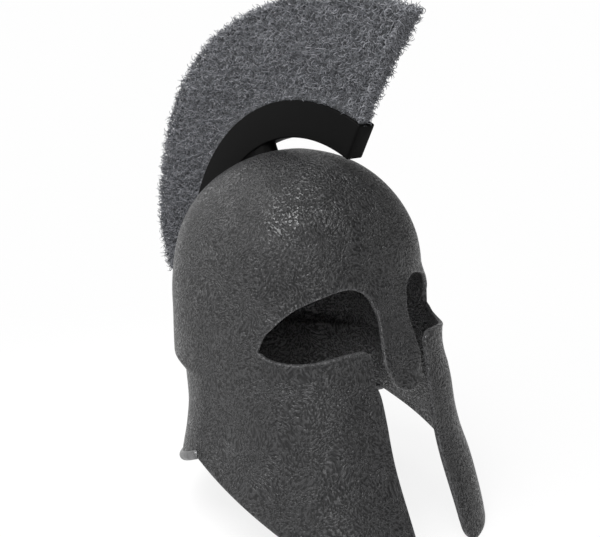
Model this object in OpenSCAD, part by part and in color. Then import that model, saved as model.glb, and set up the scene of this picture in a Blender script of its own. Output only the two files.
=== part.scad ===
// Roman helmet, closed-face type with a raised fore-and-aft crest.
// Millimetres, +Z up, face toward -Y, wearer's right side toward -X.
// The origin is the middle of the bowl at the hat line, its widest level.

/* [Bowl] */
// Outside half width of the bowl at the hat line
bowl_half_width = 97; // [88:0.5:106]
// Height of the crown above the hat line
crown_height = 122; // [110:0.5:135]
// Reach of the back of the bowl behind the origin
back_reach = 107; // [98:0.5:118]
// Reach of the forehead in front of the origin
brow_reach = 94.5; // [88:0.5:104]
// Wall of the shell
wall = 3.6; // [2.5:0.1:5]

/* [Face] */
// Reach of the face at the hat line
face_reach_hat = 104.5; // [98:0.5:112]
// Reach of the face level with the end of the nose guard
face_reach_nose = 115.5; // [108:0.5:124]
// Reach of the cheek plates half way down
face_reach_cheek = 128.5; // [120:0.5:138]
// Reach of the cheek plates near their tips
face_reach_tip = 154.5; // [144:0.5:166]
// How far the nose guard stands out ahead of the face
nose_ridge = 4; // [0:0.1:6]

/* [Neck and flare] */
// Depth of the ledge under the back of the bowl
ledge_depth = 12; // [0:0.5:14]
// Level of the top of the ledge
ledge_level = -37.5; // [-48:0.5:-30]
// Height over which the ledge falls in
ledge_height = 8; // [5:0.5:16]
// Reach of the back at the narrowest part of the neck
neck_reach = 84.5; // [78:0.5:94]
// Reach of the back at the neck rim
neck_rim_reach = 89; // [82:0.5:100]
// Half width of the cheeks along their lower edge
flare_half_width = 110; // [100:0.5:116]

/* [Lower edge] */
// Level of the neck rim at the middle of the back
rim_back_level = -131; // [-141:0.5:-121]
// Level of the corner between neck rim and cheek plate
corner_level = -100.5; // [-110:0.5:-94]
// Distance of that corner behind the origin
corner_y = 3; // [-10:0.5:16]
// Level of the cheek's lower edge half way to the tip
cheek_edge_level = -132.5; // [-145:0.5:-124]
// Level of the lowest point of the cheek plates
tip_level = -161; // [-172:0.5:-150]
// Rounding of the cheek plate tips
tip_round = 17; // [6:0.5:24]

/* [Eyes] */
// Turn of the eye openings away from straight ahead
eye_turn = 35; // [25:1:45]
// Half length of an eye opening
eye_half_length = 44; // [36:0.5:48]
// Level of the top of an eye opening
eye_top_level = 34.2; // [28:0.2:42]
// Level of the outer corner of an eye opening
eye_outer_level = -6; // [-14:0.5:0]
// Level of the lower lid near the nose guard
eye_lid_level = -7.2; // [-12:0.2:-2]
// Sag of the lower lid toward the outer corner
eye_lid_sag = 5.8; // [0:0.2:10]

/* [Nose guard and mouth slit] */
// Half width of the nose guard between the eyes
nose_half_width = 16.2; // [13:0.1:20]
// Half width of the nose guard near its end
nose_end_half_width = 19.2; // [17:0.1:24]
// Level of the end of the nose guard
nose_end_level = -41; // [-50:0.5:-36]
// Half width of the slit between the cheek plates
slit_half_width = 25.2; // [20:0.1:30]
// Extra half width of the slit beside the nose guard
slit_step = 3.8; // [2:0.1:6]
// Rounding of the cheek plates where slit and eye meet
lid_corner_round = 8; // [3:0.5:12]

/* [Neck roll] */
// Radius of the rolled bead round the neck rim
roll_radius = 3.6; // [2.5:0.1:5]

/* [Crest box] */
// How far the inner curve of the crest stays short of the back of the bowl
crest_short = 3.8; // [0:0.2:8]
// How far the crest's centre lies below the top of the crown
crest_drop = 102.5; // [92:0.5:112]
// Gap between the crown and the crest box
crest_gap = 9.7; // [6:0.1:16]
// Radial height of the crest box
box_height = 28.2; // [20:0.2:36]
// Width of the crest box
box_width = 16; // [12:0.2:24]
// Angle of the front end of the crest ahead of upright
crest_front_angle = 26.4; // [18:0.2:36]
// Angle of the rear end of the crest behind upright
crest_rear_angle = 98; // [85:0.5:108]
// Length of the post under the crest box
post_length = 21; // [12:0.5:30]
// Width of the post under the crest box
post_width = 13; // [8:0.5:16]
// Angle of the post behind upright
post_angle = 26; // [18:0.5:34]

/* [Plume] */
// Width of the groove for the plume's backing
groove_width = 12; // [8:0.2:14]
// Depth of the groove for the plume's backing
groove_depth = 4; // [2:0.2:8]
// Thickness of the backing strip at the foot of the groove
backing_thickness = 2.4; // [1.5:0.1:3.5]
// Height of the plume above the box at its front corner
plume_front_height = 87.6; // [60:0.2:110]
// Height of the plume above the box over the crown
plume_top_height = 76.6; // [50:0.2:100]
// Height of the plume above the box at its rear end
plume_rear_height = 47.6; // [25:0.2:75]
// Tufts along the plume
tufts_long = 70; // [50:1:80]
// Tufts across the plume
tufts_wide = 5; // [4:1:6]
// Spread of the plume at its ends against its foot
plume_spread = 1.75; // [1:0.05:2.2]

/* [Fasteners] */
// Diameter of the crest bolts
bolt_diameter = 5; // [4:0.1:6]
// Diameter of the bolt heads
bolt_head_diameter = 9; // [7.5:0.5:12]
// Height of the bolt heads
bolt_head_height = 3.4; // [2.5:0.1:5]
// Diameter of the washers
washer_diameter = 14; // [11:0.5:18]
// Thickness of the washers
washer_thickness = 1.2; // [0.8:0.1:2]
// Depth of the bolts in the crest box
bolt_bite = 14; // [8:0.5:18]
// Angle of the rear bolt behind upright
rear_bolt_angle = 78; // [70:0.5:88]
// Diameter of the pins that hold the backing strip
pin_diameter = 2; // [1.5:0.1:3]

/* [Lining] */
// Thickness of the leather band round the inside
band_thickness = 2.6; // [1.5:0.1:4]
// Gap between the rear washer and the band above it
band_gap = 1; // [0.5:0.1:4]
// Height of the band
band_height = 24; // [16:0.5:32]
// Radius of the round pad under the crown
pad_radius = 34; // [24:0.5:38]
// Thickness of the pad
pad_thickness = 7; // [4:0.5:12]

/* [Hidden] */
around = 48;
dome_steps = 12;
crest_z = crown_height - crest_drop;
crest_inner = crest_drop + crest_gap;
crest_y = back_reach - crest_short - crest_inner;
crest_outer = crest_inner + box_height;
groove_floor = crest_outer - groove_depth;
plume_foot = groove_floor + backing_thickness;
plume_front_radius = crest_outer + plume_front_height;
plume_top_radius = crest_outer + plume_top_height;
plume_rear_radius = crest_outer + plume_rear_height;
rim_low = rim_back_level - 52;
slack = 0.3;
pad_gap = 0.7;

band_low = crest_z + seat(rear_bolt_angle) * cos(rear_bolt_angle)
  + 0.5 * washer_diameter * sin(rear_bolt_angle) + band_gap;

// Small helpers
function ease(t) = let (c = min(1, max(0, t))) c * c * (3 - 2 * c);
function mix(a, b, t) = a + (b - a) * t;
function noise(i, j) = let (s = sin(i * 127.1 + j * 311.7) * 43758.5453) s - floor(s);

// A smooth curve through named stations: at holds falling places, to the values there
function slope_at(at, to, i) = let (a = max(0, i - 1), b = min(len(at) - 1, i + 1))
  (to[b] - to[a]) / (at[b] - at[a]);
function seg(at, x, i = 0) = (i >= len(at) - 2 || x >= at[i + 1]) ? i : seg(at, x, i + 1);
function curve(at, to, x) =
  let (
    xc = max(at[len(at) - 1], min(at[0], x)),
    i = seg(at, xc),
    h = at[i + 1] - at[i],
    t = (xc - at[i]) / h,
    t2 = t * t,
    t3 = t2 * t
  )
  (2 * t3 - 3 * t2 + 1) * to[i] + (t3 - 2 * t2 + t) * h * slope_at(at, to, i)
  + (3 * t2 - 2 * t3) * to[i + 1] + (t3 - t2) * h * slope_at(at, to, i + 1);

// Form of the shell level by level; in is the distance inward from the outside
function round_off(z, in) = sqrt(max(0, 1 - pow(z / (crown_height - in), 2)));
function half_width(z, in = 0) =
  z > 0 ? (bowl_half_width - in) * round_off(z, in)
  : curve([0, -40, -70, -90, -112, -135, -190],
      [bowl_half_width, bowl_half_width + 0.5, bowl_half_width + 1,
       mix(bowl_half_width, flare_half_width, 0.38), flare_half_width - 1.5,
       flare_half_width, flare_half_width - 1], z) - in;
function front(z, in = 0) =
  z > 35 ? (brow_reach - in) * pow(max(0, 1 - pow(z / (crown_height - in), 2.7)), 1 / 2.7)
  : curve([35, 0, -43, -90, -150, -190],
      [brow_reach * pow(1 - pow(35 / crown_height, 2.7), 1 / 2.7), face_reach_hat,
       face_reach_nose, face_reach_cheek, face_reach_tip,
       face_reach_tip + 0.4 * (face_reach_tip - face_reach_cheek)], z) - in;
function back(z, in = 0) =
  z > 0 ? (back_reach - in) * round_off(z, in)
  : curve([0, -41, -78, -112, -136, -190],
      [back_reach - ledge_depth, back_reach - ledge_depth - 1.5, neck_reach,
       neck_reach + 0.5, neck_rim_reach, neck_rim_reach + 2], z)
    + ledge_depth * ease(1 - (ledge_level - z) / ledge_height) - in;
function front_power(z) = curve([112, 80, 60, 45, 32, 20, 10, 0, -8, -14, -24, -34, -44, -60, -112, rim_low],
  [2.05, 2.25, 2.3, 2.25, 2.2, 2.3, 2.5, 2.8, 3, 2.8, 2.66, 2.7, 2.85, 2.95, 2.8, 2.8], z);
function back_power(z) = z > -80 ? mix(1.75, 2, ease(1 - (ledge_level - z) / ledge_height)) : mix(1.75, 1.7, ease((-80 - z) / 30));
function ridge(x, z) = nose_ridge * ease((4 - z) / 30) * exp(-pow(x / (1.1 * nose_end_half_width), 4));

// A point on the level z, at the angle t round the bowl
function level_point(t, z, in = 0) =
  let (
    c = cos(t), s = sin(t),
    n = s < 0 ? front_power(z) : back_power(z),
    a = max(0.05, half_width(z, in)),
    b = max(0.05, s < 0 ? front(z, in) : back(z, in)),
    r = pow(pow(abs(c) / a, n) + pow(abs(s) / b, n), -1 / n)
  )
  [r * c, r * s - (s < 0 ? ridge(r * c, z) : 0), z];

// A closed solid from rings of equal length, the last point of top closing it
function ring_faces(rows, cols) = concat(
  [for (i = [0:rows - 2], j = [0:cols - 1]) let (k = (j + 1) % cols)
    each [[i * cols + j, i * cols + k, (i + 1) * cols + k], [i * cols + j, (i + 1) * cols + k, (i + 1) * cols + j]]],
  [for (j = [0:cols - 1]) [(rows - 1) * cols + j, (rows - 1) * cols + (j + 1) % cols, rows * cols]],
  [for (j = [0:cols - 1]) [(j + 1) % cols, j, rows * cols + 1]]);
module ring_solid(rings, top, bottom) {
  rows = len(rings);
  cols = len(rings[0]);
  polyhedron(points = concat([for (r = rings) each r], [top, bottom]),
    faces = [for (f = ring_faces(rows, cols)) [f[2], f[1], f[0]]], convexity = 8);
}

// The outside or inside form of the shell as one solid
mid_levels = [-63, -54, ledge_level - ledge_height, ledge_level - 0.66 * ledge_height,
  ledge_level - 0.33 * ledge_height, ledge_level, -27, -18, -9];
module shell_form(in = 0, drop = 0) {
  levels = concat([rim_low - drop],
    [for (k = [9:-1:1]) mix(-66, rim_low, k / 10)],
    mid_levels,
    [for (k = [0:dome_steps - 1]) (crown_height - in) * sin(90 * k / dome_steps)]);
  ring_solid([for (z = levels) [for (j = [0:around - 1]) level_point(360 * j / around, z, in)]],
    [0, 0, crown_height - in], [0, 0, rim_low - drop]);
}

// Lower edge of the shell seen from the side: its level at each place y
function edge_level(y) = y > corner_y
  ? curve([120, 88, 60, 30, corner_y], [rim_back_level, rim_back_level, mix(corner_level, rim_back_level, 0.8),
      mix(corner_level, rim_back_level, 0.41), corner_level], y)
  : curve([corner_y, -45, -85, -115, -145, -190],
      [corner_level, mix(corner_level, cheek_edge_level, 0.5), cheek_edge_level,
       mix(cheek_edge_level, tip_level, 0.54), tip_level + 0.5, tip_level - 6], y);
module below_edge() {
  ys = concat([for (k = [0:9]) mix(125, corner_y, k / 9)], [for (k = [1:15]) mix(corner_y, -185, k / 15)]);
  along_x(150) for (k = [0:23]) hull()
    polygon([[ys[k], rim_low - 20], [ys[k], edge_level(ys[k])], [ys[k + 1], edge_level(ys[k + 1])], [ys[k + 1], rim_low - 20]]);
}

// Eye opening seen along its own direction, outer corner toward +
function eye_outline() =
  let (h = eye_half_length, top = eye_top_level, out = eye_outer_level, lid = eye_lid_level)
  [[0.965 * h, out], [0.88 * h, mix(out, top, 0.24)], [0.76 * h, mix(out, top, 0.38)],
   [0.58 * h, mix(out, top, 0.56)], [0.38 * h, mix(out, top, 0.71)], [0.18 * h, mix(out, top, 0.81)],
   [-0.06 * h, mix(out, top, 0.9)], [-0.26 * h, mix(out, top, 0.965)], [-0.46 * h, top],
   [-0.62 * h, mix(out, top, 0.98)], [-0.76 * h, mix(out, top, 0.91)], [-0.87 * h, mix(out, top, 0.79)],
   [-0.94 * h, mix(out, top, 0.63)], [-1.0 * h, mix(out, top, 0.5)], [-1.04 * h, mix(out, top, 0.32)],
   [-1.05 * h, mix(out, top, 0.16)], [-1.06 * h, lid - 4], [-0.81 * h, lid - 4], [-0.8 * h, lid],
   [-0.64 * h, lid], [-0.4 * h, lid - 0.1 * eye_lid_sag], [-0.16 * h, lid - 0.36 * eye_lid_sag],
   [0.07 * h, lid - 0.7 * eye_lid_sag], [0.24 * h, lid - 0.86 * eye_lid_sag],
   [0.43 * h, lid - eye_lid_sag], [0.61 * h, lid - 0.97 * eye_lid_sag],
   [0.8 * h, lid - 0.7 * eye_lid_sag], [0.93 * h, mix(lid - 0.4 * eye_lid_sag, out, 0.5)]];
module eye_cut(side) {
  mirror([side > 0 ? 1 : 0, 0, 0])
    rotate([0, 0, -eye_turn]) rotate([90, 0, 0])
      linear_extrude(height = 150) scale([-1, 1]) polygon(eye_outline());
}

// Mouth slit seen from the front, with the nose guard left standing in it
module nose_shape() {
  w = nose_end_half_width;
  hull() {
    translate([0, nose_end_level + w - 2]) circle(r = w - 2, $fn = 40);
    translate([-w, nose_end_level + w + 3]) square([2 * w, 0.1]);
    translate([-nose_half_width - 1.2, eye_lid_level + 2]) square([2 * nose_half_width + 2.4, 0.1]);
  }
  translate([-nose_half_width - 1.2, eye_lid_level]) square([2 * nose_half_width + 2.4, 12]);
}
module slit_shape() {
  s = slit_half_width;
  e = s + slit_step;
  l = eye_lid_level;
  r = lid_corner_round;
  difference() {
    polygon([[-s, rim_low - 30], [s, rim_low - 30], [s, nose_end_level - 22], [s + 0.3 * slit_step, nose_end_level],
      [e, nose_end_level + 9], [e, l - r], [e + 0.3 * r, l - 0.3 * r], [e + r, l], [e + r, l + 2], [-e - r, l + 2],
      [-e - r, l], [-e - 0.3 * r, l - 0.3 * r], [-e, l - r], [-e, nose_end_level + 9],
      [-s - 0.3 * slit_step, nose_end_level], [-s, nose_end_level - 22]]);
    nose_shape();
  }
}

// Rounding of the cheek plate tips seen from the front
module tip_shape() {
  r = tip_round;
  for (m = [0, 1]) mirror([m, 0]) difference() {
    translate([slit_half_width - 1, tip_level - 12]) square([r + 1, r + 12]);
    translate([slit_half_width + r, tip_level + r]) circle(r = r, $fn = 60);
  }
}
module along_y(from, to) {
  translate([0, to, 0]) rotate([90, 0, 0]) linear_extrude(height = to - from) children();
}

// Distance from the crest's centre to the outside of the bowl at an angle behind upright
function dome_gap(a, r) = let (y = crest_y + r * sin(a), z = crest_z + r * cos(a))
  pow(y / (y < 0 ? brow_reach : back_reach), 2) + pow(z / crown_height, 2) - 1;
function dome_radius(a, lo = 60, hi = 160, n = 22) =
  n == 0 ? (lo + hi) / 2
  : let (m = (lo + hi) / 2) dome_gap(a, m) > 0 ? dome_radius(a, lo, m, n - 1) : dome_radius(a, m, hi, n - 1);
module at_crest(a) {
  translate([0, crest_y, crest_z]) rotate([-a, 0, 0]) children();
}
function seat(a) = dome_radius(a) - wall + 0.9;

// Side view of the bowl grown by a little, drawn in y and z
module side_form(grow) {
  polygon([for (k = [0:60]) let (t = mix(-40, 190, k / 60), z = (crown_height + grow) * sin(t),
    b = cos(t) > 0 ? back_reach + grow : brow_reach + grow) [b * cos(t), z]]);
}
module along_x(half) {
  rotate([90, 0, 90]) translate([0, 0, -half]) linear_extrude(height = 2 * half) children();
}

// Rolled bead round the neck rim, its centre line on the outside of the shell
function rim_point(t, z = -120, n = 6) = let (p = level_point(t, z, 0.45 * wall))
  n == 0 ? [p[0], p[1], edge_level(p[1])] : rim_point(t, edge_level(p[1]), n - 1);
function rim_start(lo = 0, hi = 60, n = 16) =
  n == 0 ? lo : let (m = (lo + hi) / 2) rim_point(m)[1] > corner_y ? rim_start(lo, m, n - 1) : rim_start(m, hi, n - 1);
function unit(v) = v / norm(v);
function roll_line() = let (t0 = rim_start(), n = 30) [for (k = [0:n]) rim_point(mix(t0, 180 - t0, k / n))];
function roll_scale(k, n) = k == 0 || k == n + 4 ? 0.35 : k == 1 || k == n + 3 ? 0.8 : 1;
module roll_form() {
  line = roll_line();
  n = len(line) - 1;
  first = unit(line[0] - line[1]);
  last = unit(line[n] - line[n - 1]);
  r = roll_radius;
  path = concat([line[0] + first * r, line[0] + first * 0.72 * r], line, [line[n] + last * 0.72 * r, line[n] + last * r]);
  rings = [for (k = [0:len(path) - 1])
    let (
      a = path[max(0, k - 1)], b = path[min(len(path) - 1, k + 1)],
      d = unit(b - a), u = unit(cross(d, [0, 0, 1])), v = cross(d, u), s = r * roll_scale(k, n)
    )
    [for (j = [0:11]) path[k] + s * (cos(30 * j) * u + sin(30 * j) * v)]];
  ring_solid(rings, path[len(path) - 1] + last * 0.02, path[0] + first * 0.02);
}

module bowl() {
  color([0.27, 0.27, 0.28]) difference() {
    shell_form();
    shell_form(in = wall, drop = 2);
    below_edge();
    along_y(-260, 0) slit_shape();
    along_y(-260, 0) tip_shape();
    for (side = [-1, 1]) eye_cut(side);
    roll_form();
    for (a = [post_angle, rear_bolt_angle]) at_crest(a) {
      cylinder(h = 200, d = bolt_diameter + 2 * slack, $fn = 32);
      translate([0, 0, seat(a) - 30]) cylinder(h = 30, d = washer_diameter + 2 * slack, $fn = 40);
    }
  }
}

module neck_roll() {
  color([0.5, 0.5, 0.5]) roll_form();
}

module crest_box() {
  color([0.11, 0.11, 0.12]) difference() {
    crest_slice(crest_inner, crest_outer, box_width, crest_front_angle, crest_rear_angle);
    crest_slice(groove_floor, crest_outer + 5, groove_width, crest_front_angle - 1.2, crest_rear_angle - 1.2);
    along_x(box_width) side_form(slack);
    for (a = [post_angle, rear_bolt_angle]) at_crest(a)
      cylinder(h = max(crest_inner, dome_radius(a)) + bolt_bite, d = bolt_diameter, $fn = 32);
    for (a = pin_angles()) at_crest(a)
      translate([0, 0, groove_floor - 6]) cylinder(h = 10, d = pin_diameter, $fn = 24);
  }
}

// Ring slice across the width of the crest, turned up into the y and z plane
module crest_slice(inner, outer, width, front_a, rear_a) {
  translate([-width / 2, crest_y, crest_z]) rotate([90, 0, 90]) rotate([0, 0, 90 - rear_a])
    rotate_extrude(angle = front_a + rear_a, $fn = 180) translate([inner, 0]) square([outer - inner, width]);
}

module crest_post() {
  r = dome_radius(post_angle);
  color([0.11, 0.11, 0.12]) difference() {
    at_crest(post_angle) translate([0, 0, r - 6])
      linear_extrude(height = crest_inner - r + 12) hull() {
        for (y = [-1, 1]) translate([0, y * (post_length - post_width) / 2]) circle(d = post_width, $fn = 48);
      }
    crest_slice(crest_inner, crest_outer, post_width + 2, crest_front_angle, crest_rear_angle);
    along_x(post_width) side_form(0);
    at_crest(post_angle) cylinder(h = 200, d = bolt_diameter + 2 * slack, $fn = 32);
  }
}

module crest_bolt(a) {
  color([0.6, 0.6, 0.62]) at_crest(a) {
    top = max(crest_inner, dome_radius(a)) + bolt_bite;
    low = seat(a) - washer_thickness;
    difference() {
      union() {
        translate([0, 0, low - 0.8]) cylinder(h = top - low + 0.8, d = bolt_diameter, $fn = 32);
        translate([0, 0, low - bolt_head_height]) cylinder(h = bolt_head_height, d = bolt_head_diameter, $fn = 6);
      }
      translate([0, 0, low - bolt_head_height - 1]) cylinder(h = 2.8, d = bolt_diameter * 0.6, $fn = 24);
    }
  }
}
module crest_washer(a) {
  color([0.55, 0.55, 0.57]) at_crest(a) translate([0, 0, seat(a) - washer_thickness]) difference() {
    cylinder(h = washer_thickness, d = washer_diameter, $fn = 40);
    translate([0, 0, -1]) cylinder(h = 5, d = bolt_diameter + 2 * slack, $fn = 32);
  }
}
module front_bolt() {
  crest_bolt(post_angle);
}
module front_washer() {
  crest_washer(post_angle);
}
module rear_bolt() {
  crest_bolt(rear_bolt_angle);
}
module rear_washer() {
  crest_washer(rear_bolt_angle);
}

// Backing strip of the plume at the foot of the groove, with its pins
function pin_angles() = [for (k = [0:4]) mix(-crest_front_angle + 6, crest_rear_angle - 6, k / 4)];
module plume_backing() {
  color([0.2, 0.19, 0.18]) difference() {
    crest_slice(groove_floor, plume_foot, groove_width, crest_front_angle - 1.2, crest_rear_angle - 1.2);
    for (a = pin_angles()) at_crest(a) translate([0, 0, groove_floor - 6])
      cylinder(h = 20, d = pin_diameter, $fn = 24);
  }
}
module backing_pins() {
  color([0.6, 0.6, 0.62]) for (a = pin_angles()) at_crest(a)
    translate([0, 0, groove_floor - 6]) cylinder(h = 6 + backing_thickness - 0.1, d = pin_diameter, $fn = 24);
}

// Plume: tufts standing on a slice of their backing, all one solid
function plume_radius(a) = a < 0
  ? mix(plume_top_radius, plume_front_radius, pow(min(1, -a / crest_front_angle), 1.7))
  : plume_top_radius - (plume_top_radius - plume_rear_radius) * pow(max(0, (a - 30) / (crest_rear_angle - 30)), 1.6);
function on_plume(a, x, r) = [x, crest_y + r * sin(a), crest_z + r * cos(a)];
module plume() {
  na = 2 * tufts_long + 1;
  nx = 2 * tufts_wide + 1;
  a0 = -crest_front_angle + 1.2;
  a1 = crest_rear_angle - 1.2;
  rise = 1;
  foot = plume_foot;
  grid = [for (i = [0:na], j = [0:nx])
    on_plume(mix(a0, a1, (i + (i % 2 ? -0.12 : 0.12) * (i > 0 && i < na ? 1 : 0)) / na),
      groove_width * ((j + (j % 2 ? -0.15 : 0.15) * (j > 0 && j < nx ? 1 : 0)) / nx - 0.5), foot + rise)];
  under = [for (i = [0:na], j = [0, 1]) on_plume(mix(a0, a1, i / na) , groove_width * (j - 0.5), foot)];
  under_at = len(grid);
  tips = [for (i = [0:tufts_long - 1], j = [0:tufts_wide - 1])
    let (
      a = mix(a0, a1, (2 * i + 1.5) / na),
      x = groove_width * plume_spread * ((2 * j + 1.5) / nx - 0.5),
      da = (a1 - a0) / na * 0.62,
      dx = groove_width * plume_spread / nx * 0.62,
      r = plume_radius(a) - 2.5 * noise(i, j) - 0.012 * x * x
    )
    each [on_plume(a - da, x - dx, r), on_plume(a + da, x - dx, r), on_plume(a + da, x + dx, r), on_plume(a - da, x + dx, r)]];
  tip_at = under_at + len(under);
  function g(i, j) = i * (nx + 1) + j;
  function u(i, j) = under_at + 2 * i + j;
  tops = [for (i = [0:na - 1], j = [0:nx - 1]) if (!(i % 2 == 1 && j % 2 == 1))
    each [[g(i, j), g(i + 1, j), g(i + 1, j + 1)], [g(i, j), g(i + 1, j + 1), g(i, j + 1)]]];
  walls = [for (i = [0:tufts_long - 1], j = [0:tufts_wide - 1])
    let (
      t = tip_at + 4 * (i * tufts_wide + j), p = 2 * i + 1, q = 2 * j + 1,
      b = [g(p, q), g(p + 1, q), g(p + 1, q + 1), g(p, q + 1)]
    )
    each concat([for (k = [0:3]) let (m = (k + 1) % 4) each [[b[k], b[m], t + m], [b[k], t + m, t + k]]],
      [[t, t + 1, t + 2], [t, t + 2, t + 3]])];
  soles = [for (i = [0:na - 1]) each [[u(i, 0), u(i + 1, 1), u(i + 1, 0)], [u(i, 0), u(i, 1), u(i + 1, 1)]]];
  sides = [for (i = [0:na - 1]) each [
    [g(i, 0), u(i, 0), u(i + 1, 0)], [g(i, 0), u(i + 1, 0), g(i + 1, 0)],
    [g(i, nx), u(i + 1, 1), u(i, 1)], [g(i, nx), g(i + 1, nx), u(i + 1, 1)]]];
  ends = concat(
    [for (j = [0:nx - 1]) [g(0, j), g(0, j + 1), j < nx / 2 ? u(0, 0) : u(0, 1)]],
    [[g(0, ceil(nx / 2)), u(0, 1), u(0, 0)]],
    [for (j = [0:nx - 1]) [g(na, j + 1), g(na, j), j < nx / 2 ? u(na, 0) : u(na, 1)]],
    [[g(na, ceil(nx / 2)), u(na, 0), u(na, 1)]]);
  color([0.36, 0.37, 0.39]) polyhedron(points = concat(grid, under, tips),
    faces = concat(tops, walls, soles, sides, ends), convexity = 10);
}

// Leather band round the inside above the eyes
module brow_band() {
  cols = 36;
  levels = [for (k = [0:3]) band_low + band_height * k / 3];
  outer = [for (z = levels) [for (j = [0:cols - 1]) level_point(360 * j / cols, z, wall + slack + 0.4)]];
  inner = [for (z = levels) [for (j = [0:cols - 1]) level_point(360 * j / cols, z, wall + slack + 0.4 + band_thickness)]];
  rows = 4;
  pts = concat([for (r = outer) each r], [for (r = inner) each r]);
  m = rows * cols;
  faces = concat(
    [for (i = [0:rows - 2], j = [0:cols - 1]) let (k = (j + 1) % cols)
      each [[i * cols + j, (i + 1) * cols + k, i * cols + k], [i * cols + j, (i + 1) * cols + j, (i + 1) * cols + k],
        [m + i * cols + j, m + i * cols + k, m + (i + 1) * cols + k], [m + i * cols + j, m + (i + 1) * cols + k, m + (i + 1) * cols + j]]],
    [for (j = [0:cols - 1]) let (k = (j + 1) % cols, t = (rows - 1) * cols)
      each [[j, k, m + k], [j, m + k, m + j], [t + j, m + t + k, t + k], [t + j, m + t + j, m + t + k]]]);
  color([0.24, 0.15, 0.09]) polyhedron(points = pts, faces = faces, convexity = 4);
}

// Round felt pad under the crown
module crown_pad() {
  cols = 32;
  y0 = -14;
  function under_dome(x, y, in) = let (b = (y < 0 ? brow_reach : back_reach) - in, a = bowl_half_width - in)
    (crown_height - in) * sqrt(max(0, 1 - pow(x / a, 2) - pow(y / b, 2)));
  steps = [0.35, 0.68, 0.92, 1, 1, 0.9, 0.6, 0.3];
  lows = [0, 0, 0, 0.2, 0.8, 1, 1, 1];
  rings = [for (i = [0:7]) [for (j = [0:cols - 1])
    let (x = pad_radius * steps[i] * cos(360 * j / cols), y = y0 + pad_radius * steps[i] * sin(360 * j / cols))
    [x, y, under_dome(x, y, wall + pad_gap) - lows[i] * pad_thickness]]];
  color([0.3, 0.28, 0.26]) ring_solid([for (i = [7:-1:0]) rings[i]],
    [0, y0, under_dome(0, y0, wall + pad_gap)], [0, y0, under_dome(0, y0, wall + pad_gap) - pad_thickness]);
}

bowl();
neck_roll();
crest_box();
crest_post();
front_bolt();
front_washer();
rear_bolt();
rear_washer();
plume_backing();
backing_pins();
plume();
brow_band();
crown_pad();
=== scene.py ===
from functools import partial

import bpy
import numpy as np
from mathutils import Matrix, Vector


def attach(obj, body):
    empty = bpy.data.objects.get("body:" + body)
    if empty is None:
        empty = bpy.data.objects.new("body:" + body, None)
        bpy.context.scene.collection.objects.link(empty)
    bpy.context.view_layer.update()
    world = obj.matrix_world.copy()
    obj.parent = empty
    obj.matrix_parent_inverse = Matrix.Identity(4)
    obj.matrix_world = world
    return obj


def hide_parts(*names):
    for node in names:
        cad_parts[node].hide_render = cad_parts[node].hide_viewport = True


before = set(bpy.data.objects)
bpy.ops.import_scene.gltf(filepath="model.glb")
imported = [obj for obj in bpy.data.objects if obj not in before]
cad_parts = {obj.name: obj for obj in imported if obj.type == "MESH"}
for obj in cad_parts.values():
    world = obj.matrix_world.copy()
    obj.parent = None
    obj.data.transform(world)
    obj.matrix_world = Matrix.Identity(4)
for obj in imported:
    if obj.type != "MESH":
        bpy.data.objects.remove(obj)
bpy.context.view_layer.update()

# Sizes of the helmet in millimetres, the same named values as in the part's source.
# The origin is the middle of the bowl at the hat line, the face looks toward -Y, up is +Z.
BOWL_HALF_WIDTH, CROWN_HEIGHT, BACK_REACH, BROW_REACH, WALL = 97.0, 122.0, 107.0, 94.5, 3.6
FACE_HAT, FACE_NOSE, FACE_CHEEK, FACE_TIP, NOSE_RIDGE = 104.5, 115.5, 128.5, 154.5, 4.0
LEDGE_DEPTH, LEDGE_LEVEL, LEDGE_HEIGHT = 12.0, -37.5, 8.0
NECK_REACH, NECK_RIM_REACH, FLARE = 84.5, 89.0, 110.0
RIM_BACK, CORNER_LEVEL, CORNER_Y, CHEEK_EDGE, TIP_LEVEL, TIP_ROUND = -131.0, -100.5, 3.0, -132.5, -161.0, 17.0
EYE_TURN, EYE_HALF, EYE_TOP, EYE_OUT, EYE_LID, EYE_SAG = 35.0, 44.0, 34.2, -6.0, -7.2, 5.8
NOSE_HALF, NOSE_END_HALF, NOSE_END = 16.2, 19.2, -41.0
SLIT_HALF, SLIT_STEP, LID_ROUND = 25.2, 3.8, 8.0
ROLL_RADIUS = 3.6
BOX_HEIGHT, BOX_WIDTH, CREST_FRONT, CREST_REAR = 28.2, 16.0, 26.4, 98.0
CREST_Z, CREST_INNER, CREST_SINK = 19.5, 112.2, 3.8
CREST_Y, CREST_OUTER = BACK_REACH - CREST_SINK - CREST_INNER, CREST_INNER + BOX_HEIGHT
GROOVE_WIDTH, GROOVE_DEPTH, BACKING = 12.0, 4.0, 2.4
PLUME_FOOT = CREST_OUTER - GROOVE_DEPTH + BACKING
PLUME_FRONT, PLUME_TOP, PLUME_REAR = CREST_OUTER + 87.6, CREST_OUTER + 76.6, CREST_OUTER + 47.6
PLUME_START, PLUME_END = -CREST_FRONT + 1.2, CREST_REAR - 1.2
PLUME_SPREAD, LEAN, LEAN_REACH = 1.75, 1.9, 16
REAR_BOLT_ANGLE, WASHER_RADIUS, WASHER_SEAT, SLACK = 78.0, 7.0, 0.9, 0.3
BAND_THICK, BAND_HEIGHT, LINING_GAP = 2.6, 24.0, 0.7
PAD_RADIUS, PAD_THICK, PAD_CROWN, PAD_Y = 34.0, 7.0, 2.4, -14.0
BUTTON_RADIUS, BUTTON_HALF, PIPING_RADIUS = 5.2, 1.9, 1.1
RIM_LOW = RIM_BACK - 52


# Small tools

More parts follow.
